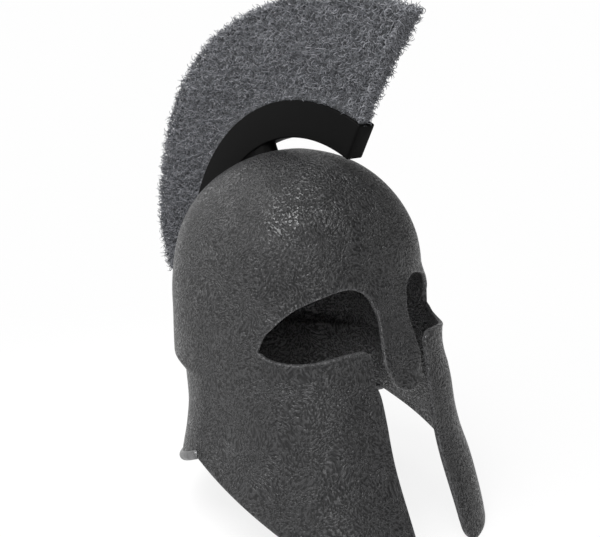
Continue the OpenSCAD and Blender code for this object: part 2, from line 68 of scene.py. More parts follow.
def linear(code):
    """An sRGB hex colour as the linear colour that a shader takes: ((c + 0.055) / 1.055) ** 2.4."""
    parts = [int(code[i:i + 2], 16) / 255 for i in (1, 3, 5)]
    return [c / 12.92 if c <= 0.04045 else ((c + 0.055) / 1.055) ** 2.4 for c in parts] + [1.0]


def per_metre(millimetres):
    """The pattern scale that gives one feature every so many millimetres."""
    return 1000.0 / millimetres


def add_node(tree, kind, inputs=(), stops=None, **settings):
    """One node with its settings. Inputs are named, or a list in the node's own order. An input is a
    number, a colour, another node's output, or a node, which stands for its first output. Stops are the
    places and tones of a colour ramp."""
    node = tree.nodes.new("ShaderNode" + kind)
    for key, value in settings.items():
        setattr(node, key, value)
    for key, value in (inputs.items() if isinstance(inputs, dict) else enumerate(inputs)):
        if isinstance(value, bpy.types.Node):
            value = value.outputs[0]
        if isinstance(value, bpy.types.NodeSocket):
            tree.links.new(value, node.inputs[key])
        else:
            node.inputs[key].default_value = value
    if stops:
        ramp = node.color_ramp.elements
        ramp.remove(ramp[1])
        ramp[0].position = stops[0][0]
        for place, value in stops:
            element = ramp[0] if place == stops[0][0] else ramp.new(place)
            element.color = linear(value) if isinstance(value, str) else [value] * 3 + [1.0]
    return node


def new_material(name):
    """An empty material, what adds a node to it, and the place on the piece in its Object coordinates."""
    material = bpy.data.materials.new(name)
    material.use_nodes = True
    material.node_tree.nodes.clear()
    add = partial(add_node, material.node_tree)
    return material, add, add("TexCoord").outputs["Object"]


def ease(t):
    """Smooth step: c * c * (3 - 2 c) with c held between 0 and 1."""
    c = np.clip(t, 0, 1)
    return c * c * (3 - 2 * c)


def mix(a, b, t):
    """From a at t = 0 to b at t = 1 in a straight line."""
    return a + (b - a) * t


def unit(vectors, least=0.0):
    """Vectors brought to length one: v / (length of v + least)."""
    return vectors / (np.linalg.norm(vectors, axis=-1, keepdims=True) + least)


def stations(at, to, x):
    """Value at x of the cubic Hermite curve through stations that are given from high to low. The slope
    at a station is the rise between its neighbours over the way between them."""
    at, to = np.array(at[::-1], float), np.array(to[::-1], float)
    slope = np.empty_like(to)
    slope[1:-1] = (to[2:] - to[:-2]) / (at[2:] - at[:-2])
    slope[0] = (to[1] - to[0]) / (at[1] - at[0])
    slope[-1] = (to[-1] - to[-2]) / (at[-1] - at[-2])
    x = np.clip(x, at[0], at[-1])
    i = np.clip(np.searchsorted(at, x) - 1, 0, len(at) - 2)
    h = at[i + 1] - at[i]
    t = (x - at[i]) / h
    return ((2 * t**3 - 3 * t**2 + 1) * to[i] + (t**3 - 2 * t**2 + t) * h * slope[i]
            + (3 * t**2 - 2 * t**3) * to[i + 1] + (t**3 - t**2) * h * slope[i + 1])


ROUND = 180.0


def put_mesh(name, points, quads, triangles=(), smooth=ROUND, closed=True):
    """A mesh object from arrays in millimetres. Corners duller than the angle smooth, in degrees, shade
    as one, and with ROUND all of them do. A closed form is turned to face outward by the sign of its
    volume, the sum of p0 . (p1 x p2)."""
    points = np.asarray(points, float)
    quads = np.asarray(quads, int).reshape(-1, 4)
    triangles = np.asarray(triangles, int).reshape(-1, 3)
    if closed:
        halves = np.concatenate([quads[:, [0, 1, 2]], quads[:, [0, 2, 3]], triangles])
        p0, p1, p2 = (points[halves[:, n]] for n in range(3))
        if np.einsum("ij,ij->", p0, np.cross(p1, p2)) < 0:
            quads, triangles = quads[:, ::-1], triangles[:, ::-1]
    mesh = bpy.data.meshes.new(name)
    mesh.vertices.add(len(points))
    mesh.vertices.foreach_set("co", (points / 1000).astype(np.float32).ravel())
    corners = np.concatenate([quads.ravel(), triangles.ravel()])
    starts = np.concatenate([4 * np.arange(len(quads)), 4 * len(quads) + 3 * np.arange(len(triangles))])
    mesh.loops.add(len(corners))
    mesh.loops.foreach_set("vertex_index", corners.astype(np.int32))
    mesh.polygons.add(len(starts))
    mesh.polygons.foreach_set("loop_start", starts.astype(np.int32))
    mesh.update(calc_edges=True)
    mesh.validate()
    mesh.shade_smooth()
    if smooth < ROUND:
        mesh.set_sharp_from_angle(angle=np.radians(smooth))
    piece = bpy.data.objects.new(name, mesh)
    bpy.context.scene.collection.objects.link(piece)
    return piece


def finish_piece(piece, material, slot, *nodes):
    """Give a piece its material and its body, and hide the nodes of the part it stands for. The slot is not
    used.
    """
    piece.data.materials.append(material)
    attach(piece, "root")
    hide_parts(*nodes)
    return piece


def circle(count):
    """Angles in radians, evenly round a circle from 0."""
    return np.linspace(0, 2 * np.pi, count, endpoint=False)


def tube(path, size, u, v, t):
    """Rings of points round a path: p + size * (cos t u + sin t v), with u and v across the path."""
    c, s = np.cos(t)[:, None], np.sin(t)[:, None]
    around = c * u[..., None, :] + s * v[..., None, :]
    return path[..., None, :] + np.asarray(size)[..., None, None] * around


def grid_quads(rows, cols, looped=False):
    """Quads of a grid of points stored row by row, the columns joined round, and the rows too when the
    grid is looped, as on a closed loop of tube."""
    i, j = np.meshgrid(np.arange(rows if looped else rows - 1), np.arange(cols), indexing="ij")
    m, k = (i + 1) % rows, (j + 1) % cols
    return np.stack([i * cols + j, i * cols + k, m * cols + k, m * cols + j], -1).reshape(-1, 4)


def sweep(rings):
    """Closed solids from rings of points, each end drawn together in its own middle. The rings are those
    of one solid, or of many solids at once."""
    rows, cols = rings.shape[-3:-1]
    rings = rings.reshape(-1, rows, cols, 3)
    ends = rings[:, [0, -1]].mean(2)
    j = np.arange(cols)
    k = (j + 1) % cols
    first = np.stack([k, j, np.full(cols, rows * cols)], -1)
    last = np.stack([(rows - 1) * cols + j, (rows - 1) * cols + k, np.full(cols, rows * cols + 1)], -1)
    base = (rows * cols + 2) * np.arange(len(rings))[:, None, None]
    points = np.concatenate([rings.reshape(len(rings), -1, 3), ends], 1)
    return (points.reshape(-1, 3), (grid_quads(rows, cols) + base).reshape(-1, 4),
            (np.concatenate([first, last]) + base).reshape(-1, 3))


def rounded_section(height, width, soft, steps):
    """Places up and across of a rectangle about its own middle, each corner rounded by a quarter circle
    of the radius soft, in so many steps."""
    corner = np.concatenate([np.radians(np.linspace(0, 90, steps)) + n * np.pi / 2 for n in range(4)])
    up = np.repeat([1, -1, -1, 1], steps) * (height / 2 - soft) + soft * np.cos(corner)
    across = np.repeat([1, 1, -1, -1], steps) * (width / 2 - soft) + soft * np.sin(corner)
    return up, across


# Form of the shell

FOREHEAD_POWER, FOREHEAD_FOOT = 2.7, 35


def round_off(z, inset):
    """Share of the full reach left at level z of the dome: an ellipse, the root of 1 - (z / height) ** 2."""
    return np.sqrt(np.clip(1 - (z / (CROWN_HEIGHT - inset)) ** 2, 0, None))


def half_width(z, inset):
    """Half width of the shell at level z: an ellipse over the crown, stations down to the flared cheeks."""
    low = stations([0, -40, -70, -90, -112, -135, -190],
                   [BOWL_HALF_WIDTH, BOWL_HALF_WIDTH + 0.5, BOWL_HALF_WIDTH + 1,
                    mix(BOWL_HALF_WIDTH, FLARE, 0.38), FLARE - 1.5, FLARE, FLARE - 1], z) - inset
    return np.where(z > 0, (BOWL_HALF_WIDTH - inset) * round_off(z, inset), low)


def front_reach(z, inset):
    """Reach of the face ahead of the origin: a superellipse over the forehead, then stations that slope
    the cheek plates forward to their tips."""
    n = FOREHEAD_POWER
    drop = np.clip(1 - np.clip(z / (CROWN_HEIGHT - inset), 0, 1) ** n, 0, None) ** (1 / n)
    low = stations([FOREHEAD_FOOT, 0, -43, -90, -150, -190],
                   [BROW_REACH * (1 - (FOREHEAD_FOOT / CROWN_HEIGHT) ** n) ** (1 / n), FACE_HAT, FACE_NOSE,
                    FACE_CHEEK, FACE_TIP, FACE_TIP + 0.4 * (FACE_TIP - FACE_CHEEK)], z) - inset
    return np.where(z > FOREHEAD_FOOT, (BROW_REACH - inset) * drop, low)


def back_reach(z, inset):
    """Reach of the back behind the origin: an ellipse over the crown, then the waist and the neck rim,
    with the ledge standing out above its level and easing away below it."""
    waist = BACK_REACH - LEDGE_DEPTH
    low = stations([0, -41, -78, -112, -136, -190],
                   [waist, waist - 1.5, NECK_REACH, NECK_REACH + 0.5, NECK_RIM_REACH, NECK_RIM_REACH + 2], z)
    low = low + LEDGE_DEPTH * ease(1 - (LEDGE_LEVEL - z) / LEDGE_HEIGHT) - inset
    return np.where(z > 0, (BACK_REACH - inset) * round_off(z, inset), low)


def front_power(z):
    """Bluntness of the outline in front, squarest at the hat line where the face turns into the temples."""
    return stations([112, 80, 60, 45, 32, 20, 10, 0, -8, -14, -24, -34, -44, -60, -112, RIM_LOW],
                    [2.05, 2.25, 2.3, 2.25, 2.2, 2.3, 2.5, 2.8, 3, 2.8, 2.66, 2.7, 2.85, 2.95, 2.8, 2.8], z)


def back_power(z):
    """Bluntness of the outline behind: full over the crown for a round back of the head, an ellipse at
    the hat line, and leaner round the neck."""
    dome = stations([CROWN_HEIGHT, 100, 85, 70, 55, 40, 25, 10, 0],
                    [2.65, 2.7, 2.65, 2.5, 2.34, 2.19, 2.09, 2.03, 2.0], z)
    low = np.where(z > -80, mix(1.75, 2, ease(1 - (LEDGE_LEVEL - z) / LEDGE_HEIGHT)),
                   mix(1.75, 1.7, ease((-80 - z) / 30)))
    return np.where(z > 0, dome, low)


def level_point(turn, z, inset=0.0):
    """A point of the shell on level z, turn radians round it from the wearer's left.
    The outline there is a superellipse, (x / half width) ** n + (y / reach) ** n = 1, blunter in front,
    and the nose ridge is pushed forward over the middle of the face."""
    turn, z, inset = np.broadcast_arrays(turn, z, inset)
    c, s = np.cos(turn), np.sin(turn)
    power = np.where(s < 0, front_power(z), back_power(z))
    a = np.maximum(0.05, half_width(z, inset))
    b = np.maximum(0.05, np.where(s < 0, front_reach(z, inset), back_reach(z, inset)))
    r = ((np.abs(c) / a) ** power + (np.abs(s) / b) ** power) ** (-1 / power)
    ridge = NOSE_RIDGE * ease((4 - z) / 30) * np.exp(-(r * c / (1.1 * NOSE_END_HALF)) ** 4)
    return np.stack([r * c, r * s - np.where(s < 0, ridge, 0), z], -1)


def rise_level(rise, inset=0.0):
    """Level for a place measured up the wall: straight below the hat line, a sine over the dome."""
    top = CROWN_HEIGHT - inset
    dome = top * np.sin(np.clip(rise / (CROWN_HEIGHT * np.pi / 2), 0, 1) * np.pi / 2)
    return np.where(rise > 0, dome, rise)


def edge_level(y):
    """Level of the lower edge at each place y, seen from the side."""
    rear = stations([120, 88, 60, 30, CORNER_Y],
                    [RIM_BACK, RIM_BACK, mix(CORNER_LEVEL, RIM_BACK, 0.8), mix(CORNER_LEVEL, RIM_BACK, 0.41),
                     CORNER_LEVEL], y)
    cheek = stations([CORNER_Y, -45, -85, -115, -145, -190],
                     [CORNER_LEVEL, mix(CORNER_LEVEL, CHEEK_EDGE, 0.5), CHEEK_EDGE,
                      mix(CHEEK_EDGE, TIP_LEVEL, 0.54), TIP_LEVEL + 0.5, TIP_LEVEL - 6], y)
    return np.where(y > CORNER_Y, rear, cheek)


def rounded_line(stops, steps=10):
    """A Catmull-Rom curve through the stops of an open line, several steps to a stop."""
    stops = np.array(stops, float)
    ends = np.concatenate([[2 * stops[0] - stops[1]], stops, [2 * stops[-1] - stops[-2]]])
    t = np.linspace(0, 1, steps, endpoint=False)[None, :, None]
    p0, p1, p2, p3 = (ends[k:len(ends) - 3 + k, None, :] for k in range(4))
    line = 0.5 * (2 * p1 + (p2 - p0) * t + (2 * p0 - 5 * p1 + 4 * p2 - p3) * t**2
                  + (3 * p1 - p0 - 3 * p2 + p3) * t**3)
    return np.concatenate([line.reshape(-1, 2), stops[-1:]])


def eye_outline():
    """Eye opening along its own direction: nose side first, over the brow, out and back on the lid.
    Rows are a share of the half length, with a share of the way from the outer corner's level up to the
    top, and then with a share of the lid's sag."""
    h, top, out, lid, sag = EYE_HALF, EYE_TOP, EYE_OUT, EYE_LID, EYE_SAG
    over = np.array([
        [-1.05, 0.16], [-1.04, 0.32], [-1.0, 0.5], [-0.94, 0.63], [-0.87, 0.79], [-0.76, 0.91], [-0.62, 0.98],
        [-0.46, 1.0], [-0.26, 0.965], [-0.06, 0.9], [0.18, 0.81], [0.38, 0.71], [0.58, 0.56], [0.76, 0.38],
        [0.88, 0.24], [0.965, 0.0]])
    under = np.array([
        [0.8, 0.7], [0.61, 0.97], [0.43, 1.0], [0.24, 0.86], [0.07, 0.7], [-0.16, 0.36], [-0.4, 0.1],
        [-0.64, 0.0], [-0.8, 0.0]])
    line = [[[-1.06 * h, lid - 4]], np.stack([over[:, 0] * h, mix(out, top, over[:, 1])], -1),
            [[0.93 * h, mix(lid - 0.4 * sag, out, 0.5)]],
            np.stack([under[:, 0] * h, lid - under[:, 1] * sag], -1)]
    return np.concatenate([rounded_line(np.concatenate(line)), [[-0.81 * h, lid - 4]]])


def arc(x, z, radius, start, end, count=24):
    """Points of a circle's arc between two angles in degrees."""
    t = np.radians(np.linspace(start, end, count))
    return np.stack([x + radius * np.cos(t), z + radius * np.sin(t)], -1)


def slit_outline():
    """Mouth slit from the front: straight sides, a step out beside the nose guard, round upper corners."""
    s, e, low, r = SLIT_HALF, SLIT_HALF + SLIT_STEP, NOSE_END, LID_ROUND
    side = np.concatenate([[[s, RIM_LOW - 30], [s, low - 30]],
                           rounded_line([[s, low - 22], [s + 0.3 * SLIT_STEP, low], [e, low + 9]], 8),
                           arc(e + r, EYE_LID - r, r, 180, 90), [[e + r, EYE_LID + 2]]])
    return np.concatenate([side, side[::-1] * [-1, 1]])


def nose_outline():
    """Nose guard from the front: a round end, widest just above it, then narrowing to the eyes."""
    w, n = NOSE_END_HALF, NOSE_HALF + 1.2
    end = arc(0, NOSE_END + w - 2, w - 2, -164.7, -15.3, 40)
    return np.concatenate([end, [[w, NOSE_END + w + 3], [n, EYE_LID + 2], [n, EYE_LID + 12],
                                 [-n, EYE_LID + 12], [-n, EYE_LID + 2], [-w, NOSE_END + w + 3]]])


def distance_out(x, z, outline):
    """Distance of points from a closed outline, negative inside: the nearest point of each side, and the
    sign from how often a level ray to the right crosses the outline."""
    a, b = outline, np.roll(outline, -1, 0)
    px, pz = x.ravel()[:, None], z.ravel()[:, None]
    dx, dz = b[:, 0] - a[:, 0], b[:, 1] - a[:, 1]
    t = np.clip(((px - a[:, 0]) * dx + (pz - a[:, 1]) * dz) / (dx**2 + dz**2 + 1e-12), 0, 1)
    gap = np.sqrt(np.min((a[:, 0] + t * dx - px) ** 2 + (a[:, 1] + t * dz - pz) ** 2, axis=1))
    with np.errstate(divide="ignore", invalid="ignore"):
        met = dx * (pz - a[:, 1]) / np.where(dz == 0, 1e-9, dz) + a[:, 0]
        crossing = ((a[:, 1] > pz) != (b[:, 1] > pz)) & (px < met)
    inside = crossing.sum(1) % 2 == 1
    return np.where(inside, -gap, gap).reshape(x.shape)


def soft_min(a, b, width):
    """The smaller of a and b, rounded where they meet over the width: their mix by h, less
    width * h * (1 - h), with h rising from 0 to 1 as b - a goes from -width to width."""
    h = np.clip(0.5 + 0.5 * (b - a) / width, 0, 1)
    return mix(b, a, h) - width * h * (1 - h)


EYE, SLIT, NOSE = eye_outline(), slit_outline(), nose_outline()
FAR, CORNER_SOFT, TIP_SOFT = 60.0, 1.2, 2.0


def metal_left(p):
    """How far inside the metal a point of the outside lies, negative in an opening or below the edge.
    FAR stands for the distance to an opening on the other side of the head, and the places where two
    edges meet are rounded over CORNER_SOFT and TIP_SOFT."""
    x, y, z = p[..., 0], p[..., 1], p[..., 2]
    slope = edge_level(y + 0.5) - edge_level(y - 0.5)
    low = (z - edge_level(y)) / np.sqrt(1 + slope**2)
    c, s = np.cos(np.radians(EYE_TURN)), np.sin(np.radians(EYE_TURN))
    eye = np.where(np.abs(x) * s - y * c > 0, distance_out(np.abs(x) * c + y * s, z, EYE), FAR)
    slit = np.maximum(distance_out(x, z, SLIT), -distance_out(x, z, NOSE))
    slit = np.where(y < 0, slit, FAR)
    tip = TIP_ROUND - np.hypot(np.minimum(np.abs(x) - SLIT_HALF - TIP_ROUND, 0),
                               np.minimum(z - TIP_LEVEL - TIP_ROUND, 0))
    tip = np.where((y < 0) & (z < TIP_LEVEL + TIP_ROUND), tip, FAR)
    return soft_min(soft_min(eye, slit, CORNER_SOFT), soft_min(low, tip, TIP_SOFT), CORNER_SOFT)


def sides_of(triangles):
    """The three sides of every triangle as pairs of corners, in its own direction."""
    return np.concatenate([triangles[:, [0, 1]], triangles[:, [1, 2]], triangles[:, [2, 0]]])


SNAP = 0.3
CUT_ROUNDS = 6


def trimmed_sheet(turns, rises, margin):
    """The outside of the shell as a sheet cut along its openings.
    Corners of the grid within the share SNAP of a side from the cut are moved on to it, the rest is
    clipped triangle by triangle, and each cut point is found by repeated linear interpolation along
    its grid side."""
    rows, cols = len(rises), len(turns)
    turn, rise = (g.ravel().copy() for g in np.meshgrid(turns, rises))
    keep = metal_left(level_point(turn, rise_level(rise))) - margin
    a, b, c, d = grid_quads(rows, cols).T
    triangles = np.concatenate([np.stack([a, b, c], -1), np.stack([a, c, d], -1)])
    sides = np.unique(np.sort(sides_of(triangles), 1), axis=0)

    def cut_sides():
        """The sides that have one corner in the metal and one outside it."""
        kept = keep[sides] >= 0
        return sides[kept[:, 0] != kept[:, 1]]

    def crossings(pairs):
        """Inner and outer corner of each side, the share of the way from one to the other at which the
        cut lies, and its place as turn and rise. Each round cuts the bracket by linear interpolation,
        and at least by a fiftieth."""
        inner, outer = np.where(keep[pairs[:, 0]] >= 0, pairs.T, pairs.T[::-1])
        step = (turn[outer] - turn[inner] + np.pi) % (2 * np.pi) - np.pi
        lo, hi = np.zeros(len(pairs)), np.ones(len(pairs))
        f_lo, f_hi = keep[inner], keep[outer]
        for _ in range(CUT_ROUNDS):
            least = 0.02 * (hi - lo)
            w = np.clip(lo + (hi - lo) * f_lo / (f_lo - f_hi + 1e-12), lo + least, hi - least)
            at = (turn[inner] + w * step, rise[inner] + w * (rise[outer] - rise[inner]))
            f = metal_left(level_point(at[0], rise_level(at[1]))) - margin
            lo, f_lo = np.where(f >= 0, w, lo), np.where(f >= 0, f, f_lo)
            hi, f_hi = np.where(f < 0, w, hi), np.where(f < 0, f, f_hi)
        return inner, outer, w, at

    inner, outer, w, at = crossings(cut_sides())
    near = np.concatenate([w, 1 - w])
    corner = np.concatenate([inner, outer])
    order = np.argsort(-near)
    order = order[near[order] < SNAP]
    turn[corner[order]] = np.concatenate([at[0], at[0]])[order]
    rise[corner[order]] = np.concatenate([at[1], at[1]])[order]
    keep[corner[order]] = 0.0

    cut = cut_sides()
    cut = cut[(keep[cut] != 0).all(1)]
    inner, outer, w, at = crossings(cut)
    code = cut[:, 0] * rows * cols + cut[:, 1]
    sort = np.argsort(code)
    code, new_turn, new_rise = code[sort], at[0][sort], at[1][sort]

    def cut_corner(p, q):
        """Index of the cut point between inner corner p and outer q, or p itself if it is on the cut."""
        found = np.searchsorted(code, np.minimum(p, q) * rows * cols + np.maximum(p, q))
        return np.where(keep[p] == 0, p, rows * cols + np.clip(found, 0, len(code) - 1))

    inside = keep[triangles] >= 0
    count = inside.sum(1)
    whole = triangles[count == 3]
    one, two = triangles[count == 1], triangles[count == 2]
    spin = np.argmax(inside[count == 1], 1)
    p, q, r = (one[np.arange(len(one)), (spin + n) % 3] for n in range(3))
    corners_one = np.stack([p, cut_corner(p, q), cut_corner(p, r)], -1)
    spin = np.argmin(inside[count == 2], 1)
    r, p, q = (two[np.arange(len(two)), (spin + n) % 3] for n in range(3))
    corners_two = np.concatenate([np.stack([p, q, cut_corner(q, r)], -1),
                                  np.stack([p, cut_corner(q, r), cut_corner(p, r)], -1)])
    faces = np.concatenate([whole, corners_one, corners_two])
    faces = faces[(faces != faces[:, [1, 2, 0]]).all(1)]
    turn, rise = np.concatenate([turn, new_turn]), np.concatenate([rise, new_rise])
    used, faces = np.unique(faces, return_inverse=True)
    return turn[used], rise[used], faces.reshape(-1, 3)


LAST_RISE, BORDER_WEAR_AND_HIGHLIGHT = 189.3, 0.35


def shell_mesh(margin=0.9):
    """The shell: a trimmed outside, the same sheet set in by the wall, and a rounded edge between.
    The edge's profile is a quarter circle out from the outside, straight across, and a quarter circle in,
    both of the radius margin. It also gives every corner its share of the lighter edge colour, partly from
    abrasion and partly a painted highlight, and its share of the inner side."""
    turns = circle(288)
    # finer rows over the ledge, the last row close round the pole
    rises = np.concatenate([np.arange(-166, -49, 2.2), np.arange(-49, -34, 0.9), np.arange(-34, 187, 2.25),
                            [LAST_RISE]])
    turn, rise, faces = trimmed_sheet(turns, rises, margin)
    out = level_point(turn, rise_level(rise))
    inn = level_point(turn, rise_level(rise, WALL), WALL)
    count = len(out)
    sides = sides_of(faces)
    code = np.sort(sides, 1) @ np.array([count, 1])
    _, first, times = np.unique(code, return_index=True, return_counts=True)
    rim = sides[first[times == 1]]
    low = rise[rim].max(1) < LAST_RISE
    crown, rim = rim[~low], rim[low]

    # crown cap: both sheets close on the pole
    poles = np.array([[0, 0, CROWN_HEIGHT], [0, 0, CROWN_HEIGHT - WALL]])
    cap_out = np.stack([crown[:, 1], crown[:, 0], np.full(len(crown), 2 * count)], -1)
    cap_in = np.stack([crown[:, 0] + count, crown[:, 1] + count, np.full(len(crown), 2 * count + 1)], -1)

    # rim rows: bulge runs along the sheet and away from the metal
    normal = np.zeros((count, 3))
    flat = np.cross(out[faces[:, 1]] - out[faces[:, 0]], out[faces[:, 2]] - out[faces[:, 0]])
    np.add.at(normal, faces.ravel(), np.repeat(flat, 3, 0))
    normal = unit(normal, 1e-12)
    away = np.zeros((count, 3))
    run = np.cross(out[rim[:, 1]] - out[rim[:, 0]], normal[rim[:, 0]] + normal[rim[:, 1]])
    np.add.at(away, rim.ravel(), np.repeat(run, 2, 0))
    edge = np.unique(rim)
    away = unit(away[edge], 1e-12)
    place = np.zeros(count, int)
    place[edge] = np.arange(len(edge))
    swing = np.radians([22.5, 45, 67.5, 90])
    share = margin / WALL
    depth = np.concatenate([share * (1 - np.cos(swing)), 1 - share * (1 - np.cos(swing[::-1]))])
    bulge = np.concatenate([margin * np.sin(swing), margin * np.sin(swing[::-1])])
    rows = (out[edge][None] + (inn[edge] - out[edge])[None] * depth[:, None, None]
            + away[None] * bulge[:, None, None])
    start = 2 * count + 2
    between = start + np.arange(len(rows) * len(edge)).reshape(len(rows), -1)
    index = np.concatenate([edge[None], between, (edge + count)[None]])
    upper, lower = index[:-1], index[1:]
    a, b = place[rim[:, 0]], place[rim[:, 1]]
    strips = np.stack([upper[:, b], upper[:, a], lower[:, a], lower[:, b]], -1).reshape(-1, 4)
    points = np.concatenate([out, inn, poles, rows.reshape(-1, 3)])
    triangles = np.concatenate([faces, faces[:, ::-1] + count, cap_out, cap_in])
    # the lighter edge colour, from abrasion and a painted highlight: full on the rim rows, a share on the
    # sheets' last corners, none elsewhere
    wear_and_highlight = np.ones(len(points))
    wear_and_highlight[:start] = 0.0
    wear_and_highlight[np.concatenate([edge, edge + count])] = BORDER_WEAR_AND_HIGHLIGHT
    inner = np.zeros(len(points))
    inner[np.concatenate([np.arange(count, 2 * count), [2 * count + 1]])] = 1.0
    return points, strips, triangles, wear_and_highlight, inner


# Neck roll, crest and linings

def roll_rings(sunk=0.45, swell=0.012, swell_length=9.0):
    """Tube along the neck rim: its middle follows the lower edge, sunk by that share of the wall, and
    each round end closes along a quarter circle. Its girth swells and ebbs by a small share, as a sine."""
    def rim_line(turn):
        """The place of the lower edge at each turn, found by going back and forth between level and y."""
        z = np.full_like(turn, -120.0)
        for _ in range(8):
            p = level_point(turn, z, sunk * WALL)
            z = edge_level(p[..., 1])
        return np.stack([p[..., 0], p[..., 1], z], -1)

    probe = np.linspace(0, np.pi / 3, 4000)
    start = probe[np.argmax(rim_line(probe)[:, 1] > CORNER_Y)]
    line = rim_line(np.linspace(start, np.pi - start, 200))
    step = np.linalg.norm(np.diff(line, axis=0), axis=1)
    ahead = unit(np.gradient(line, axis=0))
    swing = np.radians([6, 25, 45, 65, 80])
    cap, reach = np.sin(swing), ROLL_RADIUS * np.cos(swing)
    path = np.concatenate([line[:1] - ahead[:1] * reach[:, None], line,
                           line[-1:] + ahead[-1:] * reach[::-1][:, None]])
    size = ROLL_RADIUS * np.concatenate([cap, np.ones(len(line)), cap[::-1]])
    size = size * (1 + swell * np.sin(np.arange(len(size)) * step.mean() / swell_length))
    along = np.concatenate([np.repeat(ahead[:1], len(cap), 0), ahead, np.repeat(ahead[-1:], len(cap), 0)])
    u = unit(np.cross(along, [0, 0, 1.0]))
    v = np.cross(along, u)
    return tube(path, size, u, v, circle(28))


def on_crest(angle, x, radius):
    """A point over the crest's centre: angle in degrees behind upright, x across, radius outward."""
    angle, x, radius = np.broadcast_arrays(np.radians(angle), x, radius)
    return np.stack([x, CREST_Y + radius * np.sin(angle), CREST_Z + radius * np.cos(angle)], -1)


def dome_radius(angle):
    """Distance from the crest's centre to the bowl: root of the quadratic of the side ellipse."""
    s, c = np.sin(np.radians(angle)), np.cos(np.radians(angle))
    reach = np.where(CREST_Y + 110 * s < 0, BROW_REACH, BACK_REACH)
    qa = (s / reach) ** 2 + (c / CROWN_HEIGHT) ** 2
    qb = 2 * (CREST_Y * s / reach**2 + CREST_Z * c / CROWN_HEIGHT**2)
    qc = (CREST_Y / reach) ** 2 + (CREST_Z / CROWN_HEIGHT) ** 2 - 1
    return (-qb + np.sqrt(qb**2 - 4 * qa * qc)) / (2 * qa)


def box_rings(soft=1.3, lip=1.0, middle_radius=126.0, groove_stop=1.15, groove_start=1.25):
    """Crest box: a rectangle with rounded corners and a groove in its outer side, carried along the arc.
    Near each end the groove closes between two angles, and the section draws in along a quarter circle."""
    swing = np.radians([90, 65, 45, 25])
    whole = np.degrees(soft / middle_radius)
    short = whole * (1 - np.sin(swing))
    angle = np.concatenate([-CREST_FRONT + short, [-CREST_FRONT + whole, -CREST_FRONT + groove_stop],
                            np.linspace(-CREST_FRONT + groove_start, CREST_REAR - groove_start, 150),
                            [CREST_REAR - groove_stop, CREST_REAR - whole], CREST_REAR - short[::-1]])
    draw = np.zeros(len(angle))
    draw[:4], draw[-4:] = soft * (1 - np.cos(swing)), soft * (1 - np.cos(swing[::-1]))
    groove = np.zeros(len(angle))
    groove[6:-6] = GROOVE_DEPTH
    inner = np.maximum(CREST_INNER, dome_radius(angle) + SLACK)
    w, g, none = BOX_WIDTH / 2, GROOVE_WIDTH / 2, np.zeros(5)
    t = np.radians(np.linspace(0, 90, 5))
    # section: groove, right lip, right inner corner, left inner corner, left lip
    x = np.concatenate([[-g, -g, 0, g, g], w - lip + lip * np.sin(t), w - soft * (1 - np.cos(t)),
                        soft * (1 - np.cos(t[::-1])) - w, lip - w - lip * np.cos(t)])
    from_outer = np.concatenate([none, lip * (1 - np.cos(t)), none, none, lip * (1 - np.sin(t))])
    from_inner = np.concatenate([none, none, soft * (1 - np.sin(t)), soft * (1 - np.sin(t[::-1])), none])
    sunk = np.array([0, 1, 1, 1, 0] + [0] * 20)
    at_inner = np.repeat([False, False, True, True, False], 5)
    outer = CREST_OUTER - from_outer - sunk * groove[:, None]
    radius = np.where(at_inner, inner[:, None] + from_inner, outer)
    middle = 0.5 * (inner + CREST_OUTER)[:, None]
    radius = middle + (radius - middle) * (1 - 2 * draw[:, None] / BOX_HEIGHT)
    return on_crest(angle[:, None], x * (1 - draw[:, None] / w), radius)


def strip_rings():
    """The backing strip under the plume: a rounded section carried along the crest's arc in the groove."""
    angle = np.linspace(PLUME_START, PLUME_END, 120)
    low, high = CREST_OUTER - GROOVE_DEPTH, PLUME_FOOT
    up, across = rounded_section(high - low, GROOVE_WIDTH, 0.5, 4)
    return on_crest(angle[:, None], across[None], (low + high) / 2 + up[None])


def plume_radius(angle):
    """Outer edge of the plume: highest at the front, falling toward the rear by powers of the share of
    the way, with a rise in front, a fall behind and a rounded tail eased in."""
    front = mix(PLUME_TOP, PLUME_FRONT, np.clip(-angle / CREST_FRONT, 0, 1) ** 1.7)
    rear = PLUME_TOP - (PLUME_TOP - PLUME_REAR) * np.clip((angle - 30) / (CREST_REAR - 30), 0, 1.05) ** 1.6
    return (np.where(angle < 0, front, rear) + mix(3.5, -3.0, ease((angle + 22) / 40))
            - 4.5 * ease((angle - 35) / 35) - 4 * ease((angle - 82) / 18))


def lean(angle, share):
    """Angle after the lean: the front of the plume leans forward by LEAN degrees at its outer edge, less
    by the square of the share below it, and not at all LEAN_REACH degrees behind the front."""
    return angle - LEAN * share**2 * ease(1 - (angle + CREST_FRONT) / LEAN_REACH)


def fin_half(share):
    """Half thickness of the plume: half the groove at its foot, share 0, eased to PLUME_SPREAD times
    that near its outer edge, share 1."""
    return 0.5 * GROOVE_WIDTH * mix(1.0, PLUME_SPREAD, ease(share * 1.25))


